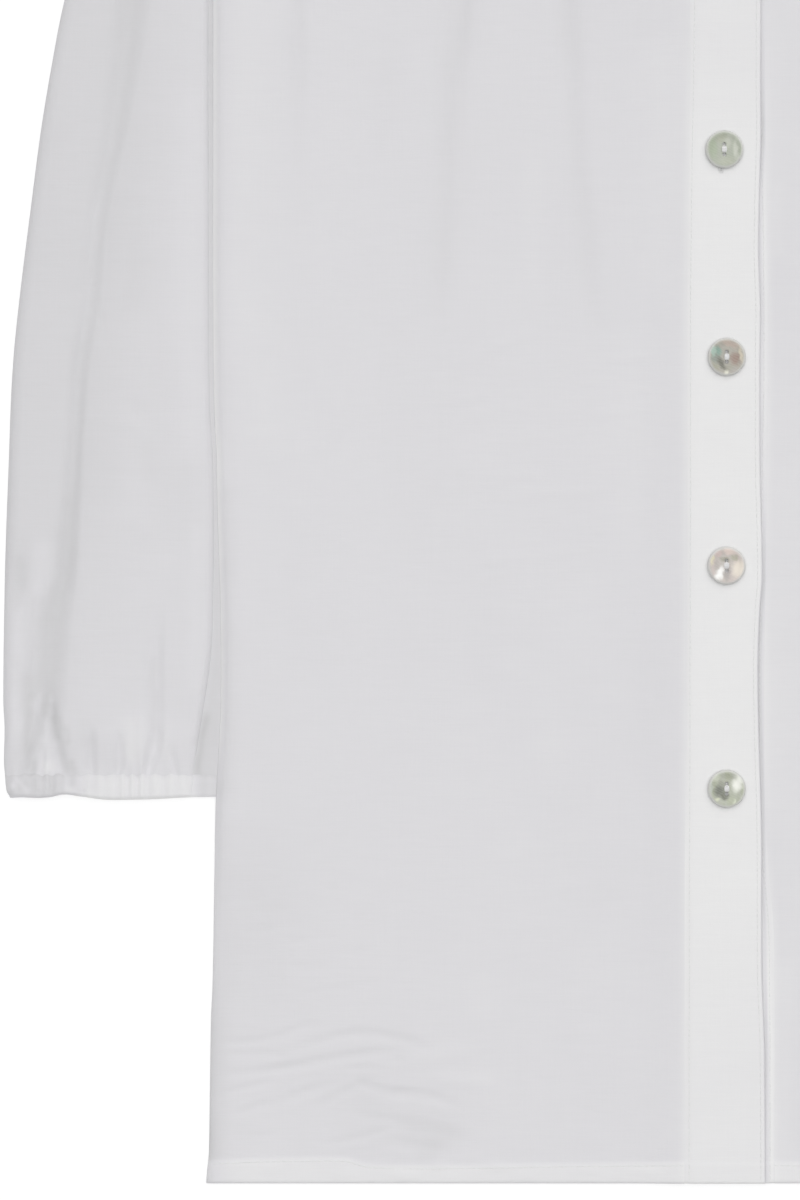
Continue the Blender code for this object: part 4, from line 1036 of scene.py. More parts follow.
def front_band(side, material):
    """A doubled band down the centre front, folded at its outer edge and sewn to the front."""
    seam_column = "seam" if side == "right" else "under_edge"

    def free_edge(height):
        if side == "right":
            return read(LAPS, "edge", height)
        return np.full_like(height, UNDERLAP_EDGE)

    inner = np.concatenate([[0.0, 0.4, 1.0, 1.8, 2.8], np.linspace(4.0, 31.0, 17)]) / BAND_WIDTH
    across = np.concatenate([inner, 1.0 - EDGE_STEPS[::-1] / BAND_WIDTH])[None, :]
    upper = steps((TOP_ROW, 560.0, 2.2), (560.0, 12.0, 3.0), (12.0, BAND_ROLL, 0.9))
    levels = np.concatenate([upper, BAND_ROLL * EDGE_STEPS[-2::-1]])[:, None]
    seam_x = read(LAPS, seam_column, TOP_ROW)
    top = front_neckline(np.abs(seam_x + (free_edge(np.array(TOP_ROW)) - seam_x) * across))
    height = levels + followed_top(levels) * (top - TOP_ROW)
    seam, free = read(LAPS, seam_column, height), free_edge(height)
    x = seam + (free - seam) * across

    from_seam = np.abs(free - seam) * across
    from_free = np.abs(free - seam) * (1.0 - across)
    flat = BAND_TOP + (LAP_LIFT if side == "right" else 0.0)
    hem = 0.18 * smooth((9.6 - height) / 1.2)
    stitch = bell(from_free - BAND_STITCH_INSET, 0.5) + bell(from_seam - BAND_STITCH_INSET, 0.5)
    uneven = 0.035 * ripple(x + 40.0, height, 47.0, 0.9) + 0.016 * ripple(x, height, 9.0, 1.9)
    full = flat + hem - 0.09 * stitch + uneven * smooth(from_free / 5.0)
    joined = smooth(from_seam / 4.0)
    level = front_level(side, np.abs(seam), height) * (1.0 - joined) + full * joined
    drop = 1.15 if side == "right" else 0.8
    level = level * (1.0 - drop / full * (1.0 - rolled(from_free, 1.0)))
    level = level * (0.55 + 0.45 * rolled(height, BAND_ROLL))
    white = band_tone(side, x, height, from_seam, from_free)
    return laid_sheet("band_cloth_" + side, x, hem_edge(height), level, material, white)


def neck_strip(name, seam_x, seam_height, tilt, base, material):
    """A length of neckband, folded at its free edge."""
    out = np.concatenate([[0.0, 0.5, 1.2, 2.2], np.linspace(3.4, 9.8, 6),
                          NECKBAND_WIDTH - np.array([1.3, 0.8, 0.45, 0.2, 0.05, 0.0])])[:, None]
    x = seam_x[None, :] + out * np.cos(tilt)[None, :]
    height = seam_height[None, :] + out * np.sin(tilt)[None, :]
    stitch = bell(out - 2.0, 0.5) + bell(out - (NECKBAND_WIDTH - 2.0), 0.5)
    top = NECKBAND_TOP - 0.10 * stitch + 0.05 * np.sin(seam_x / 4.3)[None, :]
    if name.endswith("back"):
        top = top - BACK_NECKBAND_DROP
    level = base[None, :] + top * (0.5 + 0.5 * rolled(NECKBAND_WIDTH - out, 1.3))
    level = level * (0.75 + 0.25 * rolled(out + 0.1, 0.8))
    points = np.stack([x, height, level], axis=-1)
    if x[0, -1] < x[0, 0]:
        points = points[:, ::-1]
    return cloth_of(name, points, grid_quads(*x.shape), NECKBAND_LIGHT, material)


def neckband(material):
    """Band round the neck: two lengths along the front neckline and one behind, mitred."""
    drop = NECK_POINT - FRONT_NECK
    mitre_angle = math.radians(45)
    bands = {}
    for side, far_end in (("right", RIGHT_LAP_REACH), ("left", -UNDERLAP_EDGE)):
        angle = np.linspace(0.0, math.pi / 2 + math.asin(far_end / NECK_REACH), 110)
        normal = np.arctan2(np.sin(angle) / drop, np.cos(angle) / NECK_REACH)
        tilt = normal + mitre_angle * (1.0 - smooth(angle / math.radians(30)))
        x = -NECK_REACH * np.cos(angle)
        height = NECK_POINT - drop * np.sin(angle)
        base = lap_lift(x)
        if side == "left":
            base = np.zeros_like(x)
            x = -x
            tilt = math.pi - tilt
        bands[side] = neck_strip("neckband_cloth_" + side, x, height, tilt, base, material)
    x = np.linspace(-1.0, 1.0, 120) * (NECK_REACH - 2 * SEAM_GAP)
    height = back_neckline(np.abs(x)) + 0.1
    tilt = math.pi / 2 + np.sign(x) * mitre_angle * smooth((np.abs(x) - NECK_REACH + 26.0) / 26.0)
    bands["back"] = neck_strip("neckband_cloth_back", x, height, tilt, np.zeros_like(x), material)
    return bands


def tube_stations(outer, edge, valley, counts):
    """Reaches across a section's upper side, from the inner fold to the outer one."""
    under_count, hollow_count, puffed_count = counts
    nose = TUCK_REACH + NOSE_ROLL * EDGE_STEPS
    inner = min(edge - 2.0, outer - 26.0)
    foot = min(edge + valley - VALLEY_FOOT, outer - 18.0)
    under_body = np.linspace(nose[-1], inner, under_count, endpoint=False)[1:]
    hollow = np.linspace(inner, foot, hollow_count, endpoint=False)
    fold = foot + 3.0 * np.linspace(0.0, 1.0, hollow_count, endpoint=False) ** 1.8
    puffed = np.linspace(foot + 3.0, outer - SLEEVE_ROLL, puffed_count, endpoint=False)
    return np.concatenate([nose, under_body, hollow, fold, puffed, outer - SLEEVE_ROLL * ROLL_STEPS])


def tube_rows(sections, relief, counts, floor_count):
    """Points of a flattened tube: rows of sections, each over the top and back along the floor. A
    section has its two heights, its outer reach and a rule for how far up its points are moved."""
    middle = SLEEVE_FLAT / 2
    rows = []
    for inner_height, outer_height, outer, shift in sections:
        edge = float(body_edge(inner_height))
        valley = float(read(VALLEYS, "width", inner_height))
        over = tube_stations(outer, edge, valley, counts)
        under = np.linspace(outer - 0.2, TUCK_REACH + 0.2, floor_count)
        reach = np.concatenate([over, under])
        slope = (outer_height - inner_height) / (outer - TUCK_REACH)
        height = inner_height + (reach - TUCK_REACH) * slope
        top = SLEEVE_FLAT + relief(over, height[:len(over)])
        roundness = rolled(outer - over, SLEEVE_ROLL) * rolled(over - TUCK_REACH, NOSE_ROLL)
        upper = middle + (top - middle) * roundness
        lower = middle * (1.0 - rolled(outer - under, 1.4) * rolled(under - TUCK_REACH, 1.4))
        level = np.concatenate([upper, lower + TUBE_FLOOR_GAP])
        rows.append(np.stack([reach, height + shift(reach), level], axis=-1))
    return np.array(rows)


def tube_cloth(name, sign, rows, white, material):
    """A sleeve or casing from its rows of points, which run down the garment."""
    points = rows * (sign, 1.0, 1.0)
    quads = grid_quads(*points.shape[:2], around=True)
    return cloth_of(name, points, quads[:, ::-1] if sign > 0 else quads, white, material)


def outer_fold(inner_height):
    """Height and reach of the sleeve's outer fold, by the height of its inner one."""
    return [float(read(SLEEVE_SECTIONS, column, inner_height, "inner_height"))
            for column in ("outer_height", "outer_reach")]


def scallop(reach):
    """The stitch line above the elastic rises and falls with the gathers."""
    return 0.55 * cuff_wave(reach) * above(reach, 232.0, 8.0)


def casing_end(reach):
    """How far the casing's lower edge strays from straight."""
    return read(CASING_ENDS, "height", reach, "reach") - CASING_FOOT


def sleeve(side, sign, material):
    """A full sleeve, gathered into its casing, with a long fold down it."""
    heights = steps((613.5, 540.0, 2.6), (540.0, 300.0, 3.0), (300.0, 208.0, 2.0),
                    (208.0, CASING_TOP, 1.1))
    sections = []
    for inner_height in heights:
        follow = float(1.0 - above(inner_height, CASING_TOP, 5.0))
        sections.append((inner_height, *outer_fold(inner_height), lambda r, f=follow: f * scallop(r)))
    rows = tube_rows(sections, partial(sleeve_relief, side), (9, 22, 84), 12)

    reach, height = rows[..., 0], rows[..., 1]
    fold = SLEEVE_FOLDS[side]
    beyond_fold = smooth((reach - read(fold, "reach", height)) / 12.0 + 0.5)
    from_outline = read(SLEEVE_SECTIONS, "outer_reach", height, "inner_height") - reach
    # its colour: painted light and shade along strokes and the long fold, painted shade beyond the
    # fold, by the outline and in the hollow by the body, and painted light at the body's edge and the
    # fold's foot
    white = whiteness(SLEEVE_STROKES[side], reach, height) - 1.8
    white = white + fold_painted_shade(fold, reach, height, SLEEVE_SHOULDER_WIDTH)
    white = white - BEYOND_FOLD_SHADE * beyond_fold * above(height, 230.0, 60.0)
    white = white - OUTLINE_SHADE * np.exp(-from_outline / 5.0)
    white = white + read(VALLEYS, "dim", height) * in_valley(reach, height)
    white = white + 3.0 * bell(reach - body_edge(height) + 0.1, 0.9)
    white = white + 3.5 * bell(past_valley(reach, height) - 0.3, 1.0) * above(height, 190.0, 15.0)
    return tube_cloth("sleeve_cloth_" + side, sign, rows, white, material)


def cuff(side, sign, material):
    """The elastic casing at the sleeve's end."""
    shares = np.concatenate([np.linspace(0.0, 0.88, 13), [0.92, 0.95, 0.975, 0.99, 1.0]])
    sections = []
    for share in shares:
        height = CASING_TOP + 0.25 - share * CASING_LENGTH
        outer = outer_fold(max(height, CASING_FOOT))[1]
        sections.append((height, height, outer,
                         lambda r, s=share: (1.0 - s) * scallop(r) + s * casing_end(r)))
    rows = tube_rows(sections, cuff_relief, (12, 34, 150), 40)

    # the casing closes at its end, and lies just under the sleeve at its seam
    middle = SLEEVE_FLAT / 2
    closing = np.sqrt(np.clip((1.0 - shares) / 0.12, 0.0, 1.0))[:, None]
    level = middle + (rows[..., 2] - middle) * (0.45 + 0.55 * closing)
    near_seam = (1.0 - smooth(shares * 3.0))[:, None]
    rows[..., 2] = level - 0.12 * smooth((level - middle) / 0.5) * near_seam

    reach, height = rows[..., 0], rows[..., 1]
    from_end = CASING_LENGTH * (1.0 - shares)[:, None]
    from_seam = CASING_LENGTH * shares[:, None]
    # its colour: whiter for being doubled, painted shade on its outer part, in the valley and at its
    # seam, painted light and shade on the gathers and along strokes, and painted light at its end
    white = CASING_LIGHT - CASING_SHADE * above(reach, 291.5, 6.0)
    white = white - CASING_VALLEY_SHADE * (1.0 - above(reach, 238.5, 5.0)) + 1.2 * cuff_wave(reach)
    white = white + whiteness(CUFF_STROKES[side], reach, height) - 4.0 * in_valley(reach, height)
    white = white + 10.0 * bell(from_end, 0.7) - 3.0 * bell(from_seam, 1.4)
    return tube_cloth("cuff_cloth_" + side, sign, rows, white, material)


# ------------------------------------------------------------------------------------ materials


class Value:
    """A number or colour that a node gives. Arithmetic on a number adds its Math nodes."""

    def __init__(self, finish, socket):
        self.finish = finish
        self.socket = socket

    def _math(self, operation, *others):
        sockets = dict(enumerate((self,) + others))
        return self.finish.node("ShaderNodeMath", {"operation": operation}, sockets)

    def __add__(self, other):
        return self._math("ADD", other)

    def __sub__(self, other):
        return self._math("SUBTRACT", other)

    def __mul__(self, other):
        return self._math("MULTIPLY", other)

    def sine(self):
        return self._math("SINE")


class Finish:
    """A material in the making, with one way to add any node."""

    def __init__(self, name):
        self.material = bpy.data.materials.new(name)
        self.material.use_nodes = True
        self.tree = self.material.node_tree
        self.shader = self.tree.nodes["Principled BSDF"]

    def node(self, kind, settings=None, sockets=None, output=0):
        """Add a node: its settings first, then the values or links of its sockets."""
        made = self.tree.nodes.new(kind)
        for name, setting in (settings or {}).items():
            setattr(made, name, setting)
        for name, value in (sockets or {}).items():
            self._fill(made.inputs[name], value)
        return Value(self, made.outputs[output])

    def _fill(self, socket, value):
        if isinstance(value, Value):
            self.tree.links.new(value.socket, socket)
        elif isinstance(value, tuple) and len(value) == 3 and len(socket.default_value) == 4:
            socket.default_value = (*value, 1.0)
        else:
            socket.default_value = value

    def position(self):
        """Place on the garment, in millimetres."""
        return self.scaled(self.node("ShaderNodeTexCoord", output="Object"), 1000.0)

    def vector(self, operation, first, second):
        return self.node("ShaderNodeVectorMath", {"operation": operation}, {0: first, 1: second})

    def scaled(self, vector, factor):
        return self.node("ShaderNodeVectorMath", {"operation": "SCALE"}, {0: vector, "Scale": factor})

    def length(self, vector):
        return self.node("ShaderNodeVectorMath", {"operation": "LENGTH"}, {0: vector}, output="Value")

    def part(self, vector, axis):
        return self.node("ShaderNodeSeparateXYZ", None, {0: vector}, output=axis)

    def noise(self, vector, scale, detail=2.0, roughness=0.5, distortion=0.0, stretch=None):
        """Soft noise, by choice with its place multiplied by a factor for each direction."""
        if stretch:
            vector = self.vector("MULTIPLY", vector, stretch)
        sockets = {"Vector": vector, "Scale": scale, "Detail": detail, "Roughness": roughness,
                   "Distortion": distortion}
        return self.node("ShaderNodeTexNoise", {"noise_dimensions": "3D"}, sockets, output="Fac")

    def between(self, value, low, high, start=0.0, end=1.0):
        """start at low and below, end at high and above, eased between."""
        sockets = {"Value": value, "From Min": low, "From Max": high, "To Min": start, "To Max": end}
        return self.node("ShaderNodeMapRange", {"interpolation_type": "SMOOTHSTEP"}, sockets)

    def mixed(self, share, first, second):
        settings = {"data_type": "RGBA", "clamp_factor": True}
        return self.node("ShaderNodeMix", settings, {0: share, 6: first, 7: second}, output=2)

    def set(self, **sockets):
        """Set the shader's sockets by their names, an underscore for a space."""
        for name, value in sockets.items():
            self._fill(self.shader.inputs[name.replace("_", " ")], value)

    def bump(self, height, distance, strength):
        """Bump from a height in shares of distance, which is in metres."""
        sockets = {"Height": height, "Distance": distance, "Strength": strength}
        self.set(Normal=self.node("ShaderNodeBump", None, sockets))


SINGLE_CLOTH = (0.728, 0.721, 0.742)
DOUBLED_CLOTH = (0.838, 0.837, 0.834)
# painted shade: the grey that cloth in hollows, folds and shadows is coloured towards
PAINTED_HOLLOW_SHADE = (0.552, 0.550, 0.555)
BETWEEN_THREADS = (0.46, 0.455, 0.47)
WHITENESS_TO_DOUBLED = 0.0667
WHITENESS_TO_PAINTED_SHADE = -0.0417
WEFT_PITCH = 0.27
WARP_PITCH = 0.29


def lawn_cloth(name):
    """Fine plain-woven cotton, light enough that doubled layers show whiter through it."""
    cloth = Finish(name)
    place = cloth.position()
    drift = cloth.noise(place, 0.035)
    x = cloth.part(place, "X") + drift * 2.4
    y = cloth.part(place, "Y") + drift * 1.7

    # threads over and under each other, uneven in thickness
    weft_slub = cloth.noise(place, 1.0, 3.0, 0.6, stretch=(0.06, 1.9, 1.0))
    warp_slub = cloth.noise(place, 1.0, 3.0, 0.6, stretch=(1.7, 0.05, 1.0))
    threads = (x * (math.pi / WEFT_PITCH)).sine() * (y * (math.pi / WARP_PITCH)).sine() * 0.5 + 0.5
    slubs = weft_slub * 0.62 + warp_slub * 0.38
    gaps = cloth.between(threads, 0.0, 0.35, 1.0, 0.0)

    # soft handling marks, longer across the cloth than down it
    marks = cloth.noise(place, 1.0, 3.0, 0.55, 0.4, stretch=(0.055, 0.21, 1.0))
    mottle = cloth.noise(place, 0.022)

    # the attribute holds doubled layers' whiteness with painted light and shade; below zero the
    # colour mixes towards the painted shade
    laid = cloth.node("ShaderNodeAttribute", {"attribute_name": "whiteness"}, output="Fac")
    white = laid + (mottle - 0.5) * 2.4 + (slubs - 0.5) * 6.5 + (marks - 0.5) * 2.0
    colour = cloth.mixed(white * WHITENESS_TO_DOUBLED, SINGLE_CLOTH, DOUBLED_CLOTH)
    colour = cloth.mixed(white * WHITENESS_TO_PAINTED_SHADE, colour, PAINTED_HOLLOW_SHADE)
    colour = cloth.mixed(gaps * 0.10, colour, BETWEEN_THREADS)
    cloth.set(Base_Color=colour, Roughness=slubs * 0.12 + 0.80, Specular_IOR_Level=0.28,
              Sheen_Weight=0.10, Sheen_Roughness=0.45, Sheen_Tint=(1.0, 1.0, 1.0))
    cloth.bump(threads * 0.30 + slubs * 0.9 + marks * 1.6, 0.00006, 0.9)
    return cloth.material


def sewing_thread(name):
    """Twisted sewing thread."""
    cord = Finish(name)
    place = cord.position()
    twist = ((cord.part(place, "X") + cord.part(place, "Y")) * 16.0).sine() * 0.5 + 0.5
    shade = cord.mixed(twist, (0.72, 0.72, 0.72), (0.80, 0.80, 0.80))
    cord.set(Base_Color=shade, Roughness=0.72, Specular_IOR_Level=0.30)
    cord.bump(twist, 0.00003, 0.7)
    return cord.material


def shadowed_slit(name):
    """Painted shadow in a cut buttonhole: dark grey where the cut lies in shade."""
    slit = Finish(name)
    fray = slit.noise(slit.position(), 3.0, 3.0)
    slit.set(Base_Color=slit.mixed(fray, (0.42, 0.42, 0.42), (0.56, 0.56, 0.55)), Roughness=0.9)
    return slit.material


def mother_of_pearl(name, row, clouds):
    """Shell with clouds of colour under a polished surface and fine growth lines, some clouds painted
    highlights and its rim painted lighter.
    """
    pearl = Finish(name)
    centre = (row.side, row.height - HALF_LENGTH, 0.0)
    local = pearl.vector("SUBTRACT", pearl.position(), centre)
    turned = pearl.node("ShaderNodeVectorRotate", {"rotation_type": "Z_AXIS"},
                        {"Vector": local, "Angle": math.radians(row.turn)})
    swirl = pearl.node("ShaderNodeTexNoise", None, {"Vector": turned, "Scale": 0.32, "Detail": 2.0},
                       output="Color")
    push = pearl.scaled(pearl.vector("SUBTRACT", swirl, (0.5, 0.5, 0.5)), 2.6)
    bent = pearl.vector("ADD", turned, push)

    flow = pearl.noise(bent, 0.5, 3.0, 0.55, stretch=(0.9, 0.22, 0.2))
    colour = pearl.mixed(pearl.between(flow, 0.30, 0.72), row.ground, row.flow)
    for cloud in clouds:
        sockets = {"Vector": bent, "Location": (cloud.x, cloud.y, 0.0),
                   "Rotation": (0.0, 0.0, math.radians(cloud.turn)),
                   "Scale": (cloud.across, cloud.along, 40.0)}
        away = pearl.length(pearl.node("ShaderNodeMapping", {"vector_type": "TEXTURE"}, sockets))
        colour = pearl.mixed(pearl.between(away, 0.30, 1.15, cloud.share, 0.0), colour, cloud.colour)
    from_centre = pearl.length(pearl.vector("MULTIPLY", local, (1.0, 1.0, 0.0)))
    # painted light: the rim is coloured light grey where its wall lies in shade
    colour = pearl.mixed(pearl.between(from_centre, 7.2, 8.3, 0.0, 0.85), colour, (0.68, 0.68, 0.66))
    lines = ((pearl.part(bent, "X") * 0.5 + pearl.part(bent, "Y")) * 5.2).sine() * 0.5 + 0.5
    colour = pearl.mixed(lines * 0.08, colour, (0.86, 0.86, 0.82))
    pearl.set(Base_Color=colour, Roughness=flow * 0.14 + 0.34, Specular_IOR_Level=0.32,
              Coat_Roughness=0.30, Coat_Weight=0.12)
    pearl.bump(lines * 0.4 + flow, 0.00005, 0.5)
    return pearl.material


# ------------------------------------------------------------------- stitches, by Geometry Nodes


class Recipe:
    """A Geometry Nodes tree in the making."""

    def __init__(self, name):
        self.tree = bpy.data.node_groups.new(name, "GeometryNodeTree")
        self.tree.interface.new_socket("Geometry", in_out="OUTPUT", socket_type="NodeSocketGeometry")
        self.identifiers = {}
        self.entry = self.tree.nodes.new("NodeGroupInput")
        self.add_input("Geometry", "NodeSocketGeometry")

    def add_input(self, name, kind):
        socket = self.tree.interface.new_socket(name, in_out="INPUT", socket_type=kind)
        self.identifiers[name] = socket.identifier

    def asked(self, name):
        return self.entry.outputs[name]

    def node(self, kind, settings=None, sockets=None):
        """Add a node: its settings first, then the values or links of its sockets."""
        made = self.tree.nodes.new(kind)
        for name, setting in (settings or {}).items():
            setattr(made, name, setting)
        for name, value in (sockets or {}).items():
            if isinstance(value, bpy.types.Node):
                value = value.outputs[0]
            if isinstance(value, bpy.types.NodeSocket):
                self.tree.links.new(value, made.inputs[name])
            else:
                made.inputs[name].default_value = value
        return made

    def ends_with(self, geometry, material):
        done = self.node("GeometryNodeRealizeInstances", None, {0: geometry})
        smoothed = self.node("GeometryNodeSetShadeSmooth", None, {0: done})
        coloured = self.node("GeometryNodeSetMaterial", None, {0: smoothed, "Material": material})
        way_out = self.tree.nodes.new("NodeGroupOutput")
        self.tree.links.new(coloured.outputs[0], way_out.inputs[0])


def stitching_recipe(name, across):
    """Stitches along each line of the geometry, laid on the cloth below: end to end, or side by
    side across the line."""
    recipe = Recipe(name)
    for title in ("Pitch", "Length", "Width", "Height"):
        recipe.add_input(title, "NodeSocketFloat")
    recipe.add_input("Cloth", "NodeSocketObject")
    recipe.add_input("Material", "NodeSocketMaterial")

    line = recipe.node("GeometryNodeMeshToCurve", None, {0: recipe.asked("Geometry")})
    even = recipe.node("GeometryNodeResampleCurve", {"mode": "LENGTH"},
                       {"Curve": line, "Length": recipe.asked("Pitch")})
    cloth = recipe.node("GeometryNodeObjectInfo", {"transform_space": "ORIGINAL"},
                        {"Object": recipe.asked("Cloth")})
    place = recipe.node("GeometryNodeInputPosition")
    above_cloth = recipe.node("ShaderNodeVectorMath", {"operation": "ADD"},
                              {0: place, 1: (0.0, 0.0, 0.05)})
    cast = recipe.node("GeometryNodeRaycast", {"data_type": "FLOAT"},
                       {"Target Geometry": cloth.outputs["Geometry"], "Source Position": above_cloth,
                        "Ray Direction": (0.0, 0.0, -1.0), "Ray Length": 0.1})
    laid = recipe.node("GeometryNodeSetPosition", None,
                       {0: even, "Position": cast.outputs["Hit Position"]})

    tangent = recipe.node("GeometryNodeInputTangent")
    facing = recipe.node("FunctionNodeAlignRotationToVector", {"axis": "Y" if across else "X"},
                         {"Vector": tangent})
    ball = recipe.node("GeometryNodeMeshUVSphere", None, {"Segments": 8, "Rings": 4, "Radius": 0.5})
    size = recipe.node("ShaderNodeCombineXYZ", None,
                       {"X": recipe.asked("Length"), "Y": recipe.asked("Width"),
                        "Z": recipe.asked("Height")})
    stitch = recipe.node("GeometryNodeTransform", None, {0: ball, "Scale": size})
    copies = recipe.node("GeometryNodeInstanceOnPoints", None,
                         {"Points": laid, "Selection": cast.outputs["Is Hit"],
                          "Instance": stitch, "Rotation": facing})
    recipe.ends_with(copies, recipe.asked("Material"))
    return recipe


def sewn(name, runs, recipe, cloth, material, pitch, length, width, height):
    """Stitches on a piece of cloth along runs of (x, height) points, in millimetres."""
    points, edges = [], []
    for run in runs:
        start = len(points)
        points += [(x, h, 0.0) for x, h in run]
        edges += [(k, k + 1) for k in range(start, len(points) - 1)]
    piece = mesh_of(name, points, edges=edges)
    maker = piece.modifiers.new("stitches", "NODES")
    maker.node_group = recipe.tree
    asked = {"Pitch": pitch * MM, "Length": length * MM, "Width": width * MM, "Height": height * MM,
             "Cloth": cloth, "Material": material}
    for title, value in asked.items():
        maker[recipe.identifiers[title]] = value
    made_plain(piece)
    return piece


# -------------------------------------------------------------------------------------- buttons

# Half a button's section, in millimetres: distance from its axis, and height
DISHED = BUTTON_THICKNESS - BUTTON_DISH
BUTTON_PROFILE = (
    (0.0, DISHED), (2.5, DISHED + 0.01), (4.2, DISHED + 0.05), (5.2, DISHED + 0.18),
    (5.9, DISHED + 0.40), (6.5, DISHED + 0.64), (7.0, DISHED + 0.83), (7.45, BUTTON_THICKNESS),
    (7.9, BUTTON_THICKNESS - 0.10), (8.25, BUTTON_THICKNESS - 0.34), (8.52, BUTTON_THICKNESS - 0.72),
    (BUTTON_RADIUS, BUTTON_THICKNESS - 1.15), (8.55, 0.72), (8.1, 0.34), (7.3, 0.08), (6.6, 0.0),
    (0.0, 0.0),
)

# Half a strand of the thread, from where it leaves a hole to the knot: distance up the garment from
# the button's middle, and height over its dish
STRAND = ((1.70, -1.5), (1.60, -0.9), (1.35, -0.40), (0.95, 0.08), (0.5, 0.28), (0.0, 0.34))
STRAND_OFFSETS = (-0.90, -0.45, 0.0, 0.45, 0.90)
STRAND_RADIUS = 0.30


def shell_button(name, row, material):
    """A dished shell button: a turned profile with a rounded rim, bored twice."""
    data = bpy.data.meshes.new(name)
    data.from_pydata([(r * MM, 0.0, z * MM) for r, z in BUTTON_PROFILE],
                     [(k, k + 1) for k in range(len(BUTTON_PROFILE) - 1)], [])
    piece = added(name, data)
    turn = piece.modifiers.new("turn", "SCREW")
    turn.steps = turn.render_steps = 72
    turn.use_merge_vertices = True
    turn.merge_threshold = 0.00001
    drills = []
    for end in (-1, 1):
        bpy.ops.mesh.primitive_cylinder_add(vertices=20, radius=BUTTON_HOLE / 2 * MM, depth=0.02,
                                            location=(0.0, end * BUTTON_HOLE_SPACING / 2 * MM, 0.0))
        drills.append(bpy.context.object)
        bore = piece.modifiers.new("bore", "BOOLEAN")
        bore.object = drills[-1]
    bpy.context.view_layer.update()
    made_plain(piece)
    for drill in drills:
        bpy.data.objects.remove(drill)
    centre = np.array([row.side, row.height - HALF_LENGTH, BUTTON_LEVEL]) * MM
    piece.data.transform(Matrix.Translation(centre))
    return finished(piece, material, BUTTON_SHARP_ANGLE)


def button_thread(name, row, material):
    """Strands of thread from hole to hole, bunched into a round knot at the middle."""
    data = bpy.data.curves.new(name, "CURVE")
    data.dimensions = "3D"
    data.bevel_depth = STRAND_RADIUS * MM
    data.bevel_resolution = 2
    data.resolution_u = 6
    floor = BUTTON_LEVEL + BUTTON_THICKNESS - BUTTON_DISH
    route = STRAND + tuple((-y, z) for y, z in STRAND[-2::-1])
    for offset in STRAND_OFFSETS:
        strand = data.splines.new("POLY")
        strand.points.add(len(route) - 1)
        for point, (y, z) in zip(strand.points, route):
            spread = 1.0 - 0.12 * y * y - 0.42 * smooth(abs(y) - 0.8)
            place = (row.side + offset * spread, row.height - HALF_LENGTH + y, floor + z)
            point.co = (*(number * MM for number in place), 1.0)
    curve = added(name + "_route", data)
    graph = bpy.context.evaluated_depsgraph_get()
    mesh = bpy.data.meshes.new_from_object(curve.evaluated_get(graph))
    bpy.data.objects.remove(curve)
    return finished(added(name, mesh), material)


def stadium(x, low, high, half_width):
    """A closed run of (x, height) points about an upright slit."""
    turns = np.linspace(0.0, math.pi, 10)
    upper = [(x + half_width * math.cos(a), high + half_width * math.sin(a)) for a in turns]
    lower = [(x - half_width * math.cos(a), low - half_width * math.sin(a)) for a in turns]
    return upper + lower + upper[:1]


# ---------------------------------------------------------------------------------- the garment

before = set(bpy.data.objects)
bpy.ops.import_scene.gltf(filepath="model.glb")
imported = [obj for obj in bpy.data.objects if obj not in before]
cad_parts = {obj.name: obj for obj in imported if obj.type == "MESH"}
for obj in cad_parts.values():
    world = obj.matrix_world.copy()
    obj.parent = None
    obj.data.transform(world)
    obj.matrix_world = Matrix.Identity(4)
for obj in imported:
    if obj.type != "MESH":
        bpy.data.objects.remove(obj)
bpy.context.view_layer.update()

white = lawn_cloth("white_lawn")
white_band = lawn_cloth("white_lawn_band")
white_thread = sewing_thread("white_thread")
slit_painted_shadow = shadowed_slit("buttonhole_slit")

cloths = {"back": back(white)}
for side, sign in (("right", -1), ("left", 1)):
    cloths["front_" + side] = front(side, sign, white)
    cloths["placket_" + side] = front_band(side, white_band)
    cloths["sleeve_" + side] = sleeve(side, sign, white)
    cloths["cuff_" + side] = cuff(side, sign, white_band)
for place, band in neckband(white_band).items():
    cloths["neckband_" + place] = band

running = stitching_recipe("running_stitches", across=False)
satin = stitching_recipe("satin_bars", across=True)
STITCH = dict(pitch=2.6, length=2.2, width=0.34, height=0.26)
BAR = dict(pitch=0.42, length=1.5, width=0.40, height=0.34)
SLIT = dict(pitch=0.8, length=1.6, width=0.5, height=0.12)

bpy.context.view_layer.update()
height = np.linspace(575.0, 2.5, 160)
band_stitches = {
    "right": (read(LAPS, "seam", height) + BAND_STITCH_INSET,
              read(LAPS, "edge", height) - BAND_STITCH_INSET),
    "left": (read(LAPS, "under_edge", height) - BAND_STITCH_INSET,
             np.full_like(height, UNDERLAP_EDGE + BAND_STITCH_INSET)),
}
sewing = {}
for side, sign in (("right", -1), ("left", 1)):
    reach = np.linspace(front_seam(side, 0.0) + 1.0, body_edge(8.0) - 4.0, 90)
    run = list(zip(sign * reach, hem_top(reach) - HEM_STITCH_INSET))
    sewing["front_" + side] = sewn("hem_stitches_" + side, [run], running, cloths["front_" + side],
                                   white_thread, **STITCH)
for side, lines in band_stitches.items():
    runs = [list(zip(x, height)) for x in lines]
    sewing["placket_" + side] = sewn("band_stitches_" + side, runs, running,
                                     cloths["placket_" + side], white_thread, **STITCH)

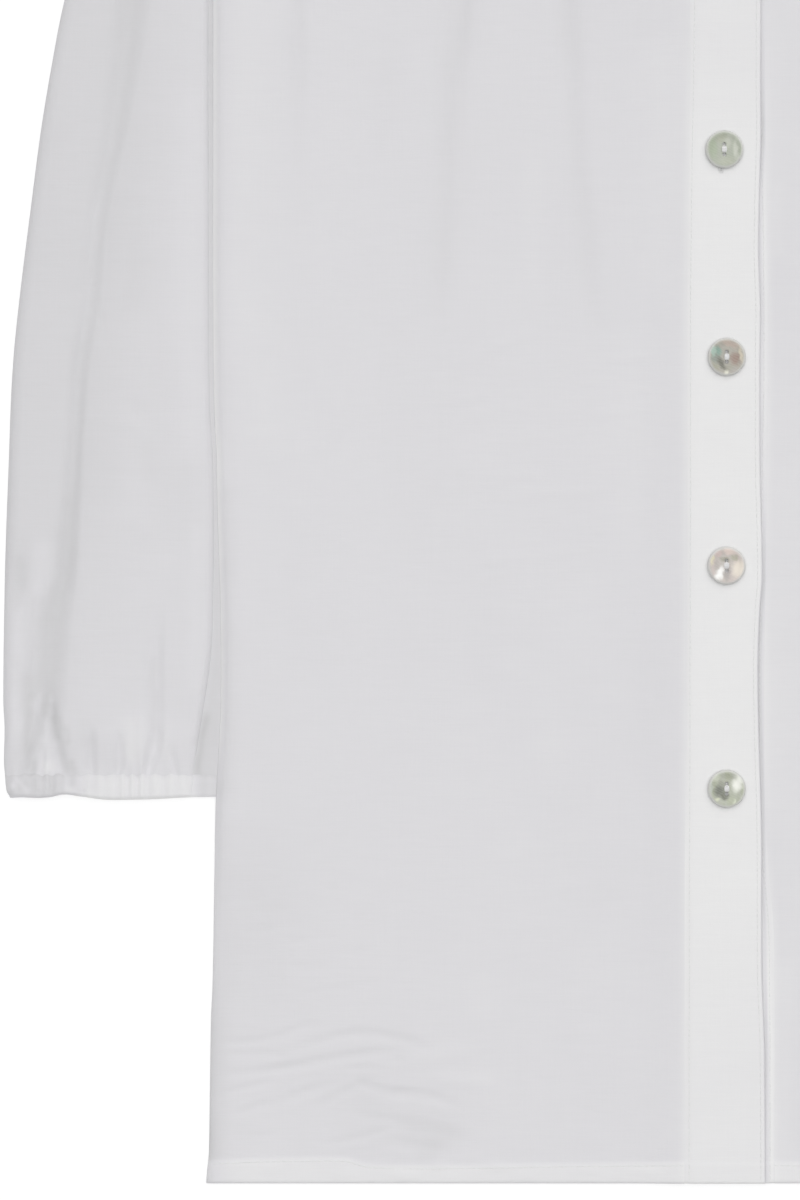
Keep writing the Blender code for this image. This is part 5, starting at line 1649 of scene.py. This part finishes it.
# Each buttonhole is an upright slit a little to the side of its button and mostly under it, its cut
# a line of dark grey marks that paint the slit's shadow
SLIT_LENGTH = 14.6
upper_band = cloths["placket_right"]
buttons, threads, holes, slits = [], [], [], []
for number, (row, clouds) in enumerate(zip(BUTTONS, CLOUDS_AND_PAINTED_HIGHLIGHTS), start=1):
    pearl = mother_of_pearl("mother_of_pearl_%d" % number, row, clouds)
    buttons.append(shell_button("shell_button_%d" % number, row, pearl))
    threads.append(button_thread("button_thread_%d" % number, row, white_thread))
    low = row.height - row.hole_start
    high = low + SLIT_LENGTH
    hole = stadium(row.hole_side, low, high, 0.95)
    holes.append(sewn("buttonhole_%d" % number, [hole], satin, upper_band, white_thread, **BAR))
    slit = [(row.hole_side, low), (row.hole_side, high)]
    slits.append(sewn("slit_%d" % number, [slit], running, upper_band, slit_painted_shadow, **SLIT))

# ------------------------------------------------------------------ what rides and stands for

CUTS = {
    "back": ((0.60, 0.66), 0.300, "laid", ["back"]),
    "front_right": ((0.30, 0.62), 0.134, "laid", ["back_cloth"]),
    "front_left": ((0.30, 0.62), 0.131, "laid", ["back_cloth"]),
    "placket_right": ((0.036, 0.585), None, "laid", ["front_cloth_left", "band_cloth_left"]),
    "placket_left": ((0.034, 0.585), None, "laid", ["back_cloth"]),
    "sleeve_right": ((0.262, 0.46), 0.104, "gathered", ["sleeve_right"]),
    "sleeve_left": ((0.262, 0.46), 0.104, "gathered", ["sleeve_left"]),
    "cuff_right": ((0.275, 0.0105), None, "gathered", ["cuff_right"]),
    "cuff_left": ((0.275, 0.0105), None, "gathered", ["cuff_left"]),
    "neckband_right": ((0.165, 0.012), None, "laid", ["back_cloth"]),
    "neckband_left": ((0.160, 0.012), None, "laid", ["back_cloth"]),
    "neckband_back": ((0.220, 0.012), None, "laid", ["neckband_back"]),
}
DOUBLED_PIECES = ("placket_right", "placket_left", "neckband_right", "neckband_left", "neckband_back",
                  "cuff_right", "cuff_left")
for node, piece in cloths.items():
    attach(piece, "root")
    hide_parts(node)
    "doubled_cloth" if node in DOUBLED_PIECES else "cloth"
    if node in sewing:
        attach(sewing[node], "root")
        "doubled_cloth" if node in DOUBLED_PIECES else "cloth"
for number in range(len(BUTTONS)):
    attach(buttons[number], "root")
    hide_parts("button_%d" % (number + 1))
    for piece in (threads[number], holes[number], slits[number]):
        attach(piece, "root")
for node, (flat, area, held, rests_on) in CUTS.items():
    going = [sewing[node]] if node in sewing else []
    if node == "placket_right":
        going = going + holes + slits

# ------------------------------------------------------------------------ floor, light and camera

floor_finish = Finish("white_floor")
grain = floor_finish.noise(floor_finish.position(), 0.02, 2.0)
grey = floor_finish.mixed(grain, (0.40, 0.40, 0.40), (0.42, 0.42, 0.42))
floor_finish.set(Base_Color=grey, Roughness=0.9, Specular_IOR_Level=0.0,
                 Emission_Color=(1.0, 1.0, 1.0), Emission_Strength=0.66)
half = 4.0
below_cloth = -0.0004
floor_data = bpy.data.meshes.new("floor")
corners = ((-half, -half), (half, -half), (half, half), (-half, half))
floor_data.from_pydata([(x, y, below_cloth) for x, y in corners], [], [(0, 1, 2, 3)])
floor = added("floor", floor_data)
floor_data.materials.append(floor_finish.material)

studio = bpy.data.worlds.new("studio")
studio.use_nodes = True
background = studio.node_tree.nodes["Background"]
background.inputs["Color"].default_value = (1.0, 1.0, 1.0, 1.0)
background.inputs["Strength"].default_value = 0.40
bpy.context.scene.world = studio

Light = namedtuple("Light", "name side up height spread strength")
LIGHTS = named(Light, (
    ("window_light", 0.13, 0.40, 1.0, 90.0, 1.80),
    ("ceiling_light", -0.10, -0.05, 1.0, 60.0, 0.15),
))
for light in LIGHTS:
    data = bpy.data.lights.new(light.name, "SUN")
    data.angle = math.radians(light.spread)
    data.energy = light.strength
    lamp = added(light.name, data)
    slope = math.hypot(light.side, light.up) / light.height
    lamp.rotation_euler = (math.atan(slope), 0.0, math.atan2(light.up, light.side) + math.pi / 2)
    lamp.location = (light.side, light.up, light.height)

# The photograph's frame: the size of its pixels at the garment, and where the buttons' line and the
# hem are in it
PIXEL = 0.456 * MM
PIXELS_UP = 1200
BUTTONS_FROM_MIDDLE = 325
HEM_FROM_TOP = 1183
lens = bpy.data.cameras.new("camera")
lens.type = "PERSP"
lens.lens = 120.0
lens.sensor_width = 36.0
lens.clip_start = 0.05
camera = added("camera", lens)
distance = PIXELS_UP * PIXEL * lens.lens / lens.sensor_width
up_from_hem = (HEM_FROM_TOP - PIXELS_UP / 2) * PIXEL
camera.location = (-BUTTONS_FROM_MIDDLE * PIXEL, up_from_hem - HALF_LENGTH * MM, distance + 0.003)
bpy.context.scene.camera = camera
bpy.context.scene.view_settings.view_transform = "Standard"
